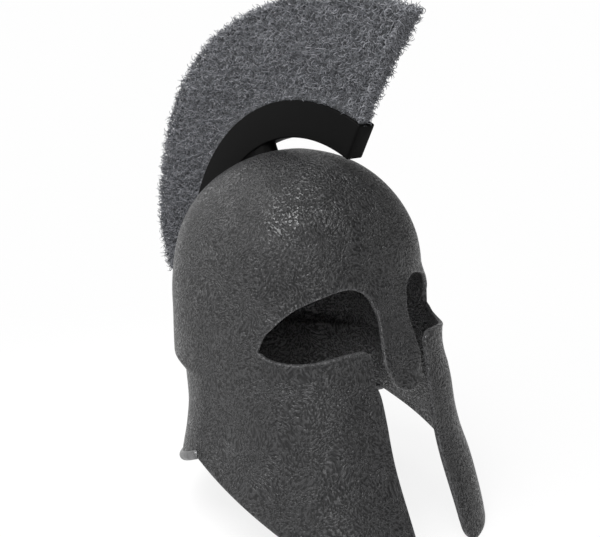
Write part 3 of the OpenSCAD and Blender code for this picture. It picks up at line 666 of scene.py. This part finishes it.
def fin_rings(inset=3.2, under_edge=6.0, rough=0.4, end_round=1.6):
    """Core of the plume: a blade of round-cornered section, its skin the inset inside the full plume,
    roughened by two crossing waves so that the curls stand on uneven ground. Its ends are rounded over
    so many degrees, along a quarter circle."""
    angle = np.linspace(PLUME_START + 1.0, PLUME_END - 1.0, 240)
    end = np.clip(np.minimum(angle - angle[0], angle[-1] - angle) / end_round, 0, 1)
    blunt = np.sqrt(np.clip(1 - (1 - end) ** 2, 0.04, 1))
    t = circle(72)
    share = 0.5 + 0.5 * np.sign(np.sin(t)) * np.abs(np.sin(t)) ** 0.35
    side = np.sign(np.cos(t)) * np.abs(np.cos(t)) ** 0.28
    radius = PLUME_FOOT + share * (plume_radius(angle) - under_edge - PLUME_FOOT)[:, None]
    waves = rough * np.sin(3.1 * angle[:, None] + 30 * share) * np.sin(31 * share + angle[:, None])
    across = side * (fin_half(share) - inset * ease(share * 5) - rough + waves) * blunt[:, None]
    return on_crest(lean(angle[:, None], share), across, radius)


HAIR_GIRTH = np.array([1, 1, 1, 0.95, 0.85, 0.7])
HAIR_RINGS = len(HAIR_GIRTH)
HAIR_CORNERS = 3 * HAIR_RINGS + 1
# how deep the hairs are rooted: in the sides, away from the sides on the top and the ends, under the top,
# and on the ends under the outer edge and behind the end's face
SIDE_DEEP, FACE_DEEP, TOP_DEEP, END_DEEP, END_ROOT = 3.9, 2.5, 4.4, 2.8, 3.8
HAIR_FOOT, STRAY_SHARE = CREST_OUTER + 1.5, 0.04


def curls(seed, count, zone):
    """Short curly hairs as closed three-sided tubes that taper to a point, all in whole arrays.
    A hair starts under the plume's skin and runs along a circle's arc in a plane of its own while it
    drifts outward: p(s) = root + bend * (cos(first + span s) e1 + sin(first + span s) e2) + out * lift * s,
    less the arc's own start. Each hair has a tone of its own, and those of the front are painted paler, as
    the light that falls on the plume's front."""
    dice = np.random.default_rng(seed)
    angle = dice.uniform(PLUME_START, PLUME_END, count)
    share = dice.uniform(0.0, 1.0, count)
    # this row of draws is unused, and keeps the later draws in their places
    dice.uniform(size=count)
    across_at = dice.uniform(-1, 1, count)
    on_side = zone in ("right", "left")
    if on_side:
        share = 0.97 * share
    elif zone == "top":
        share = np.full(count, 1.0)
    else:
        angle = np.full(count, PLUME_START if zone == "front" else PLUME_END)
    radius = PLUME_FOOT + 1.0 + share * (plume_radius(angle) - PLUME_FOOT - 1.0)
    angle = lean(angle, share)
    rad = np.radians(angle)
    level = np.zeros(count)
    if on_side:
        side = np.full(count, -1.0 if zone == "right" else 1.0)
        out = np.stack([side, level, level], -1)
        root = on_crest(angle, side * (fin_half(share) - SIDE_DEEP), np.maximum(radius, HAIR_FOOT))
    elif zone == "top":
        out = np.stack([level, np.sin(rad), np.cos(rad)], -1)
        root = on_crest(angle, across_at * (fin_half(share) - FACE_DEEP), radius - TOP_DEEP)
    else:
        out = np.stack([level, np.cos(rad), -np.sin(rad)], -1) * (-1.0 if zone == "front" else 1.0)
        radius = np.maximum(radius - END_DEEP, HAIR_FOOT)
        root = on_crest(angle, across_at * (fin_half(share) - FACE_DEEP), radius) - out * END_ROOT
    # strays stand out farther than the rest
    stray = dice.uniform(size=count) < STRAY_SHARE
    lift = np.where(stray, dice.uniform(4.0, 8.0, count), dice.uniform(2.0, 3.8, count))
    bend = dice.uniform(0.8, 2.3, count)
    span = dice.uniform(1.6, 5.2, count) * np.where(dice.uniform(size=count) < 0.5, -1, 1)
    first = dice.uniform(0, 2 * np.pi, count)
    pole = unit(out + dice.normal(size=(count, 3)) * 0.55)
    e1 = unit(np.cross(pole, dice.normal(size=(count, 3))))
    e2 = np.cross(pole, e1)
    s = np.linspace(0, 1, HAIR_RINGS + 1)
    phase = first[:, None] + span[:, None] * s[None]
    ring = ((np.cos(phase) - np.cos(first)[:, None])[..., None] * e1[:, None]
            + (np.sin(phase) - np.sin(first)[:, None])[..., None] * e2[:, None])
    path = root[:, None] + ring * bend[:, None, None] + out[:, None] * (lift[:, None] * s[None])[..., None]
    ahead = unit(np.gradient(path, axis=1), 1e-9)
    u = unit(np.cross(ahead, pole[:, None] + 0.01), 1e-9)
    v = np.cross(ahead, u)
    girth = dice.uniform(0.22, 0.36, count)[:, None] * HAIR_GIRTH
    ringed = slice(HAIR_RINGS)
    rings = tube(path[:, ringed], girth, u[:, ringed], v[:, ringed], np.radians([90, 210, 330]))
    points = np.concatenate([rings.reshape(count, -1, 3), path[:, HAIR_RINGS:]], 1)
    # three sides of the tip, and the foot
    ends = np.array([[15, 16, 18], [16, 17, 18], [17, 15, 18], [1, 0, 2]])
    base = HAIR_CORNERS * np.arange(count)[:, None, None]
    # the front hairs are painted paler, as the light falling on them
    tone = mix(0.45 if zone == "front" else 0.0, 1.0, dice.uniform(size=count))
    return (points.reshape(-1, 3), (grid_quads(HAIR_RINGS, 3)[None] + base).reshape(-1, 4),
            (ends[None] + base).reshape(-1, 3), np.repeat(tone, HAIR_CORNERS))


# the band lies a little over the washer of the rear bolt
WASHER_AT = np.radians(REAR_BOLT_ANGLE)
BAND_LOW = (CREST_Z + (float(dome_radius(REAR_BOLT_ANGLE)) - WALL + WASHER_SEAT) * np.cos(WASHER_AT)
            + WASHER_RADIUS * np.sin(WASHER_AT) + 1)
LINING_INSET = WALL + LINING_GAP


def band_rings():
    """Leather band inside the bowl: a rounded section at each place round it. It starts at the back of
    the head, runs once round, and its end laps a little over its start."""
    run = np.linspace(-4, 368, 260)[:, None]
    lap = (BAND_THICK + 0.2) * ease((run - 348) / 10)
    deep, high = rounded_section(BAND_THICK, BAND_HEIGHT, 0.9, 5)
    return level_point(np.radians(90 + run), BAND_LOW + BAND_HEIGHT / 2 + high,
                       LINING_INSET + BAND_THICK / 2 + deep + lap)


def stitch_rings(per_row=92, from_edge=3.2, long=4.2, thread=0.45, over=0.2, under=0.35):
    """Two rows of stitches on the band: each a short thread that dives into the leather at both ends,
    five rings of six points whose height follows a half sine, from under the leather to over it."""
    turn = np.tile(circle(per_row), 2)
    level = BAND_LOW + np.repeat([from_edge, BAND_HEIGHT - from_edge], per_row)
    deep = LINING_INSET + BAND_THICK - 0.1
    s = np.linspace(-1, 1, 5)[:, None]
    mid = level_point(turn, level, deep)
    ahead = unit(level_point(turn + 0.01, level, deep) - mid)
    inward = level_point(turn, level, deep + 1.0) - mid
    high = (over + under) * np.cos(s * np.pi / 2) - under
    path = mid[:, None] + ahead[:, None] * (s * long / 2) + inward[:, None] * high
    return tube(path, thread, inward[:, None], np.cross(ahead, inward)[:, None], circle(6))


def under_dome(x, y):
    """Level of the inside of the dome, an ellipsoid, the gap above the pad taken off."""
    b = np.where(y < 0, BROW_REACH, BACK_REACH) - LINING_INSET
    left = 1 - (x / (BOWL_HALF_WIDTH - LINING_INSET)) ** 2 - (y / b) ** 2
    return (CROWN_HEIGHT - LINING_INSET) * np.sqrt(np.clip(left, 0, 1))


def on_pad(share, t):
    """Place x and y at a share of the pad's radius, t radians round its middle."""
    return PAD_RADIUS * share * np.cos(t), PAD_Y + PAD_RADIUS * share * np.sin(t)


def pad_rings(edge=0.93, seam_at=0.52, seam_half=1.5, seam_deep=2.2):
    """Quilted felt pad under the crown: rings from the middle of its top, over its round rim, to the
    middle of its underside. The underside is crowned, and eight radial seams and one ring seam sink into it
    as bell curves; between the seams it swells."""
    t = circle(160)
    rim = np.radians(np.linspace(75, -90, 12))
    share = np.concatenate([np.linspace(0.04, edge, 10), edge + (1 - edge) * np.cos(rim),
                            np.linspace(edge, 0.03, 46)])[:, None]
    sink = np.concatenate([np.zeros(10), 0.5 * (1 - np.sin(rim)), np.ones(46)])[:, None]
    x, y = on_pad(share, t)
    crowned = (PAD_THICK - PAD_CROWN) + PAD_CROWN * np.sqrt(np.clip(1 - (share / 1.02) ** 2, 0, 1))
    eighth = np.abs(np.sin(4 * t))
    radial = PAD_RADIUS * share * eighth / 4
    ring = PAD_RADIUS * np.abs(share - seam_at)
    seam = seam_deep * np.maximum(np.exp(-(radial / seam_half) ** 2), np.exp(-(ring / seam_half) ** 2))
    under = ease((sink - 0.8) / 0.2)
    deep = sink * crowned - under * (seam - 0.4 * eighth * np.sin(np.pi * np.clip(share, 0, 1)))
    return np.stack([x + 0 * deep, y + 0 * deep, under_dome(x, y) - deep], -1)


def piping_rings():
    """Welt round the pad: a thin tube of round section along the pad's widest line, closed on itself."""
    t = circle(120)
    x, y = on_pad(1.0, t)
    line = np.stack([x, y, under_dome(x, y) - 0.5 * (PAD_THICK - PAD_CROWN)], -1)
    out = np.stack([np.cos(t), np.sin(t), 0 * t], -1)
    return tube(line, PIPING_RADIUS, out, np.array([[0, 0, 1.0]]), circle(10))


def button_rings():
    """Covered button that holds the quilting: a flattened ball on the middle of the underside."""
    t = circle(32)
    s = np.radians(np.linspace(-80, 80, 13))[:, None]
    x, y = on_pad(BUTTON_RADIUS / PAD_RADIUS * np.cos(s), t)
    z = under_dome(np.zeros(1), np.full(1, PAD_Y)) - PAD_THICK + 1.0 + BUTTON_HALF * np.sin(s) + 0 * t
    return np.stack([x, y, z], -1)


# Materials

def shaded(material, add, inputs):
    """The material, its shader given numbers, colours and links, and joined to its output."""
    add("OutputMaterial", {"Surface": add("BsdfPrincipled", inputs)})
    return material


def grained(name, cloud, grain, tones, rough, bump, stretch=(1.0, 1.0, 1.0), **more):
    """A surface of two patterns. The cloud sets its tone, by the stops of a ramp, and its roughness,
    from one value to another. The grain, drawn out by the stretch, raises it by a strength and a height
    in metres. A pattern is a texture, the millimetres to one feature, and its other inputs."""
    material, add, place = new_material(name)
    drawn = add("Mapping", {"Vector": place, "Scale": stretch})
    cloud, grain = (add(kind, {"Vector": where, "Scale": per_metre(apart), **inputs})
                    for (kind, apart, inputs), where in ((cloud, place), (grain, drawn)))
    return shaded(material, add, {
        "Base Color": add("ValToRGB", [cloud], tones),
        "Roughness": add("MapRange", [cloud, 0.0, 1.0, *rough]),
        "Normal": add("Bump", {"Strength": bump[0], "Distance": bump[1], "Height": grain}), **more})


def cast_iron():
    """Sand-cast iron, blackened and given an oil finish: the mould leaves a wrinkled, pitted skin that the
    oil makes shine softly. The edges of the openings are lighter, partly from abrasion by handling and partly
    as a painted highlight, and shade and light are painted into the wrinkles, the pits, the inside and the
    outside."""
    material, add, place = new_material("cast_iron_blackened")
    # slow drift of the pattern, 28 mm, so that the wrinkles swirl
    drift = add("TexNoise", {"Vector": place, "Scale": per_metre(28), "Detail": 1.0})
    shift = add("VectorMath", [drift.outputs["Color"], (0.5, 0.5, 0.5)], operation="SUBTRACT")
    pull = add("VectorMath", {0: shift, "Scale": 0.022}, operation="SCALE")
    moved = add("VectorMath", [place, pull])
    # wrinkles of the mould sand, 1.7 mm apart
    drawn = add("Mapping", {"Vector": moved, "Scale": (1.0, 1.0, 0.95)})
    wrinkle = add("TexNoise", {"Vector": drawn, "Scale": per_metre(1.7), "Detail": 1.5,
                               "Roughness": 0.5, "Distortion": 0.3})
    fold = add("MapRange", [wrinkle, 0.36, 0.6])
    # sand grain, 1 mm
    grain = add("TexNoise", {"Vector": moved, "Scale": per_metre(1.0), "Detail": 1.0})
    # lone pits and short upright scars, one to every 5 mm or so
    tall = add("Mapping", {"Vector": moved, "Scale": (1.0, 1.0, 0.5)})
    pits = add("TexVoronoi", {"Vector": tall, "Scale": per_metre(4.4)})
    pit = add("ValToRGB", [pits], [(0.08, 1.0), (0.24, 0.0)])
    some = add("SeparateColor", [pits.outputs["Color"]])
    few = add("Math", [some, 0.55], operation="GREATER_THAN")
    scar = add("Math", [pit, few], operation="MULTIPLY")
    # patches where the skin is rougher or smoother, 26 mm
    patch = add("TexNoise", {"Vector": place, "Scale": per_metre(26), "Detail": 2.0})
    amount = add("MapRange", [patch, 0.36, 0.62, 0.72, 1.0])
    # shares that change with the place, each along an axis from one place in metres to another
    axes = add("SeparateXYZ", [place])
    grades = (
        # the crown lay deepest in the mould and took its sand the hardest
        (2, -0.07, 0.04, 0.75, 1.0),
        # below the ledge the inside is painted darker toward the back, as the shade under the ledge, and
        # lighter toward its lower edge, as light from below; above the ledge it is painted evenly lighter
        (1, 0.0, 0.06, 1.0, 0.36), (2, -0.065, -0.045, 1.6, 1.0), (2, -0.047, -0.041, 0.0, 1.2),
        # the outside is painted darker on the back and on the wearer's left, as shade
        (1, -0.04, 0.03, 1.0, 0.84), (0, 0.015, 0.05, 1.0, 0.58))
    coarse, inside_back_shade, inside_low_light, above_ledge_light, outside_back_shade, outside_left_shade = (
        add("MapRange", [axes.outputs[axis], start, end, share, other])
        for axis, start, end, share, other in grades)
    # the inside's painted light and shade
    inside_lower_light_shade = add("Math", [inside_back_shade, inside_low_light], operation="MULTIPLY")
    inside_light_and_shade = add("Math", [inside_lower_light_shade, above_ledge_light], operation="MAXIMUM")
    # the outside's painted shade on its back and left
    outside_side_shade = add("Math", [outside_back_shade, outside_left_shade], operation="MULTIPLY")
    # the inside has a deeper relief, and a colour with its own painted light and shade
    inside = add("Attribute", attribute_name="inner_side").outputs["Fac"]
    depth = add("MapRange", [inside, 0.0, 1.0, 0.0009, 0.0019])
    deep = add("Math", [depth, coarse], operation="MULTIPLY")
    rise = add("Math", [grain, 0.35, fold], operation="MULTIPLY_ADD")
    height = add("Math", [scar, -0.9, rise], operation="MULTIPLY_ADD")
    bump = add("Bump", {"Strength": amount, "Distance": deep, "Height": height})
    # the valleys of the wrinkles are painted darker, as the shade in them, and the ridges lighter, on the
    # inside more strongly
    tone = add("ValToRGB", [fold], [(0.1, "#121213"), (0.5, "#222223"), (0.95, "#343435")])
    inside_shaded_ramp = add("ValToRGB", [fold], [(0.1, "#0e0e0f"), (0.5, "#282829"), (0.95, "#5c5c5d")])
    outside_shaded_tone = add("VectorMath", {0: tone, "Scale": outside_side_shade}, operation="SCALE")
    inside_painted_tone = add("VectorMath", {0: inside_shaded_ramp, "Scale": inside_light_and_shade}, operation="SCALE")
    # the edges are lighter, partly from abrasion and partly as a painted highlight on the rounded rims,
    # broken up by the grain
    edge = add("Attribute", attribute_name="edge_wear_and_highlight").outputs["Fac"]
    edge_breakup = add("MapRange", [wrinkle, 0.35, 0.6, 0.3])
    worn_and_lit_edge = add("Math", [edge, edge_breakup], operation="MULTIPLY")
    colour = outside_shaded_tone
    # over it: the inside's own colour, the pits painted dark as the shade in them, and the lighter edges
    for share, over in ((inside, inside_painted_tone), (scar, linear("#0c0c0d")), (worn_and_lit_edge, linear("#4c4c4d"))):
        colour = add("Mix", {0: share, 6: colour, 7: over}, data_type="RGBA").outputs[2]
    rough = add("MapRange", [fold, 0.0, 1.0, 0.5, 0.27])
    # the painted light and shade scale the shine as well
    place_shine = add("Mix", {0: inside, 2: outside_side_shade, 3: inside_light_and_shade}, data_type="FLOAT")
    shine = add("Math", [place_shine, 0.42], operation="MULTIPLY")
    return shaded(material, add, {"Base Color": colour, "Roughness": rough, "Specular IOR Level": shine,
                                  "Normal": bump, "Metallic": 0.15})


def plume_hair(dull):
    """Curled animal hair dyed grey: each hair has its own grey, and hairs are rough with a faint sheen.
    The dull one is for the plume's core, painted darker as the shade deep between the hairs, and the hairs of
    the plume's front are painted paler, as light on them."""
    material, add, place = new_material("curled_hair_core" if dull else "curled_hair_grey")
    tangle = add("TexNoise", {"Vector": place, "Scale": per_metre(1.8), "Detail": 2.0, "Distortion": 1.0})
    if dull:
        # the core is painted darker, as the shade deep between the hairs
        tone = add("ValToRGB", [tangle], [(0.35, "#2a2b2e"), (0.7, "#47494d")])
    else:
        # each hair's own grey, painted paler on the plume's front as light
        own = add("Attribute", attribute_name="hair_tone_and_front_light").outputs["Fac"]
        both = add("Mix", {0: 0.25, 2: own, 3: tangle}, data_type="FLOAT")
        tone = add("ValToRGB", [both], [(0.1, "#37393d"), (0.5, "#5e6065"), (0.9, "#8e8f94")])
    bump = add("Bump", {"Strength": 0.6, "Distance": 0.0006, "Height": tangle})
    rough = add("MapRange", [tangle, 0.0, 1.0, 0.7, 0.9])
    return shaded(material, add, {"Base Color": tone, "Roughness": rough, "Normal": bump,
                                  "Sheen Weight": 0.15})


def waxed_thread():
    """Waxed linen thread: twisted strands 0.5 mm apart, a dull waxy shine."""
    material, add, place = new_material("linen_thread_waxed")
    wave = add("TexWave", {"Vector": place, "Scale": per_metre(3.0), "Distortion": 2.0},
               bands_direction="DIAGONAL")
    twist = wave.outputs["Fac"]
    tone = add("ValToRGB", [twist], [(0.2, "#8a7a60"), (0.8, "#b8a888")])
    rough = add("MapRange", [twist, 0.0, 1.0, 0.5, 0.65])
    bump = add("Bump", {"Strength": 0.4, "Distance": 0.0002, "Height": twist})
    return shaded(material, add, {"Base Color": tone, "Roughness": rough, "Normal": bump})


IRON, HAIR, HAIR_CORE, THREAD = cast_iron(), plume_hair(False), plume_hair(True), waxed_thread()
# drawn steel bead, rubbed bright by handling, with fine scratches and dull patches
STEEL_ROLL = grained(
    "drawn_steel_rubbed", ("TexNoise", 7, {"Detail": 4.0}), ("TexNoise", 0.9, {"Detail": 2.0}),
    [(0.35, "#474748"), (0.65, "#6c6c6d")], (0.5, 0.28), (0.15, 0.0002), Metallic=0.6)
# turned steel of bolts, washers and pins: fine tool marks and a little tarnish
STEEL = grained(
    "turned_steel", ("TexNoise", 4, {"Detail": 3.0}), ("TexNoise", 0.7, {"Detail": 2.0}),
    [(0.35, "#77787a"), (0.65, "#a3a4a6")], (0.4, 0.25), (0.2, 0.0001), Metallic=1.0)
# carved wood under satin black lacquer: the grain only just shows, and the sheen is broad
LACQUER = grained(
    "wood_satin_black_lacquer", ("TexNoise", 18, {"Detail": 2.0}), ("TexNoise", 1.6, {"Detail": 3.0}),
    [(0.3, "#050505"), (0.7, "#080808")], (0.5, 0.62), (0.12, 0.0002), (1.0, 0.12, 0.12),
    **{"Specular IOR Level": 0.05})
# pressed wool felt without gloss: matted fibres 0.6 mm across, drawn at 1.2 mm so that they show
FIBRE = ("TexNoise", 1.2, {"Detail": 4.0, "Distortion": 1.5})
FELT = grained("wool_felt_brown", FIBRE, FIBRE, [(0.3, "#3f3a35"), (0.7, "#5c554d")], (0.85, 1.0),
               (0.5, 0.0004), **{"Sheen Weight": 0.3})
# vegetable-tanned leather in black and tan: pebbled grain about 1.4 mm across, and a cloudy tone
hides = (("leather_black_strip", "#24211f", "#38332f"), ("leather_tan_band", "#3d2a1c", "#5d412b"))
BACKING_LEATHER, BAND_LEATHER = (
    grained(name, ("TexNoise", 14, {"Detail": 4.0}), ("TexVoronoi", 1.4, {}), [(0.3, low), (0.7, high)],
            (0.45, 0.7), (0.4, 0.0004))
    for name, low, high in hides)


# The pieces

def put_values(piece, name, values):
    """A number on every corner of a piece, for its material to read."""
    piece.data.attributes.new(name, "FLOAT", "POINT").data.foreach_set("value", values.astype(np.float32))


def swept_piece(name, rings, material, slot, node, smooth=ROUND):
    """A closed piece from rings, with its material, that stands for the node of a part, which it hides."""
    return finish_piece(put_mesh(name, *sweep(rings), smooth), material, slot, node)


points, strips, triangles, wear_and_highlight, inner = shell_mesh()
shell = put_mesh("shell_cast", points, strips, triangles, 60.0)
put_values(shell, "edge_wear_and_highlight", wear_and_highlight)
put_values(shell, "inner_side", inner)
finish_piece(shell, IRON, "shell", "bowl")

swept_piece("neck_rim_roll", roll_rings(), STEEL_ROLL, "roll", "neck_roll")
swept_piece("crest_holder", box_rings(), LACQUER, "box", "crest_box", 35.0)
swept_piece("plume_strip", strip_rings(), BACKING_LEATHER, "backing", "plume_backing")
swept_piece("plume_core", fin_rings(), HAIR_CORE, "plume", "plume")

zones = [("right", 5600)] * 3 + [("left", 5600)] * 3 + [("top", 5400), ("front", 2400), ("rear", 1500)]
for seed, (zone, count) in enumerate(zones, 1):
    points, quads, ends, tone = curls(seed, count, zone)
    piece = put_mesh(f"plume_curls_{zone}_{seed}", points, quads, ends)
    put_values(piece, "hair_tone_and_front_light", tone)
    finish_piece(piece, HAIR, "plume", "plume")

looks = {"crest_post": LACQUER, "front_bolt": STEEL, "rear_bolt": STEEL, "front_washer": STEEL,
         "rear_washer": STEEL, "backing_pins": STEEL}
for node, material in looks.items():
    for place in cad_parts[node].material_slots:
        place.material = material

swept_piece("head_band", band_rings(), BAND_LEATHER, "band", "brow_band", 50.0)
swept_piece("head_band_stitches", stitch_rings(), THREAD, "band", "brow_band")

pad = swept_piece("crown_cushion", pad_rings(), FELT, "pad", "crown_pad")
loop = piping_rings()
welt = put_mesh("crown_cushion_welt", loop.reshape(-1, 3), grid_quads(*loop.shape[:2], looped=True))
finish_piece(welt, BAND_LEATHER, "pad", "crown_pad")
swept_piece("crown_cushion_button", button_rings(), BAND_LEATHER, "pad", "crown_pad")


# Floor, light and camera

def seen_directly(add, rays):
    """1 for rays that see a thing straight, in a gloss or through glass, and 0 for the rest: the largest
    of the three."""
    seen = rays.outputs["Is Camera Ray"]
    for other in ("Is Glossy Ray", "Is Transmission Ray"):
        seen = add("Math", [seen, rays.outputs[other]], operation="MAXIMUM")
    return seen


def studio_floor():
    """Matt pale floor: a soft shadow near the object, and white to the camera farther out."""
    material, add, place = new_material("studio_floor_matt")
    far = add("VectorMath", [place], operation="LENGTH").outputs["Value"]
    fade = add("MapRange", [far, 0.1, 0.6, 0.82])
    seen = seen_directly(add, add("LightPath"))
    share = add("Math", [seen, fade], operation="MULTIPLY")
    matt = add("BsdfDiffuse", {"Color": linear("#f7f7f7")})
    white = add("Emission", {"Color": linear("#fefefe"), "Strength": 1.0})
    both = add("MixShader", [share, matt, white])
    add("OutputMaterial", {"Surface": both})
    return material


turn = circle(96)
reach = np.array([0.0, 300, 700, 1500, 4000])[:, None]
level = np.full((len(reach), len(turn)), TIP_LEVEL)
rings = np.stack([reach * np.cos(turn), reach * np.sin(turn), level], -1)
floor = put_mesh("studio_floor", rings.reshape(-1, 3), grid_quads(*rings.shape[:2]), closed=False)
floor.data.materials.append(studio_floor())

world = bpy.data.worlds.new("studio")
bpy.context.scene.world = world
world.use_nodes = True
world.node_tree.nodes.clear()
add = partial(add_node, world.node_tree)
rays = add("LightPath")
dim = add("Background", {"Color": linear("#ffffff"), "Strength": 0.48})
# the studio is open and white on the helmet's right, and shaded on its left, as reflections show it
sky = add("TexCoord").outputs["Generated"]
way = add("VectorMath", [sky, (0.73, -0.68, 0.0)], operation="DOT_PRODUCT").outputs["Value"]
shade = add("MapRange", [way, -0.1, 0.7, 0.93, 0.34])
# and its ceiling is dark, so that a shine from above comes from the lamps
high = add("SeparateXYZ", [sky]).outputs[2]
ceiling = add("MapRange", [high, 0.05, 0.6, 1.0, 0.3])
open_part = add("Math", [shade, ceiling], operation="MULTIPLY")
glow = add("Math", [open_part, rays.outputs["Is Camera Ray"]], operation="MAXIMUM")
white = add("Background", {"Color": linear("#fefefe"), "Strength": glow})
both = add("MixShader", [seen_directly(add, rays), dim, white])
add("OutputWorld", {"Surface": both})


def soft_lamp(name, place, aim, size, power):
    """A square studio lamp at a place, turned toward an aim, sizes in metres and power in watts."""
    data = bpy.data.lights.new(name, "AREA")
    data.size, data.energy = size, power
    lamp = bpy.data.objects.new(name, data)
    lamp.location = place
    lamp.rotation_euler = (Vector(aim) - Vector(place)).to_track_quat("-Z", "Y").to_euler()
    bpy.context.scene.collection.objects.link(lamp)


soft_lamp("lamp_over", (-0.5, -0.05, 0.95), (0, 0, 0.05), 0.62, 15.5)
soft_lamp("lamp_side", (-0.85, 0.9, 0.1), (0, 0, -0.05), 0.7, 2.2)
soft_lamp("lamp_back", (0.0, 1.0, 0.65), (0, 0, 0.05), 0.6, 2.4)
soft_lamp("lamp_front", (-0.75, -1.0, 0.12), (0, 0, -0.05), 0.6, 3.0)

camera_data = bpy.data.cameras.new("camera")
camera_data.lens, camera_data.sensor_width = 55.356, 36.0
camera_data.shift_x, camera_data.shift_y = -0.003, -0.0045
camera = bpy.data.objects.new("camera", camera_data)
camera.location = (-0.4828, -0.5207, 0.2091)
camera.rotation_euler = Vector((0.6612, 0.7090, -0.2453)).to_track_quat("-Z", "Y").to_euler()
bpy.context.scene.collection.objects.link(camera)
bpy.context.scene.camera = camera
bpy.context.scene.view_settings.view_transform = "Standard"
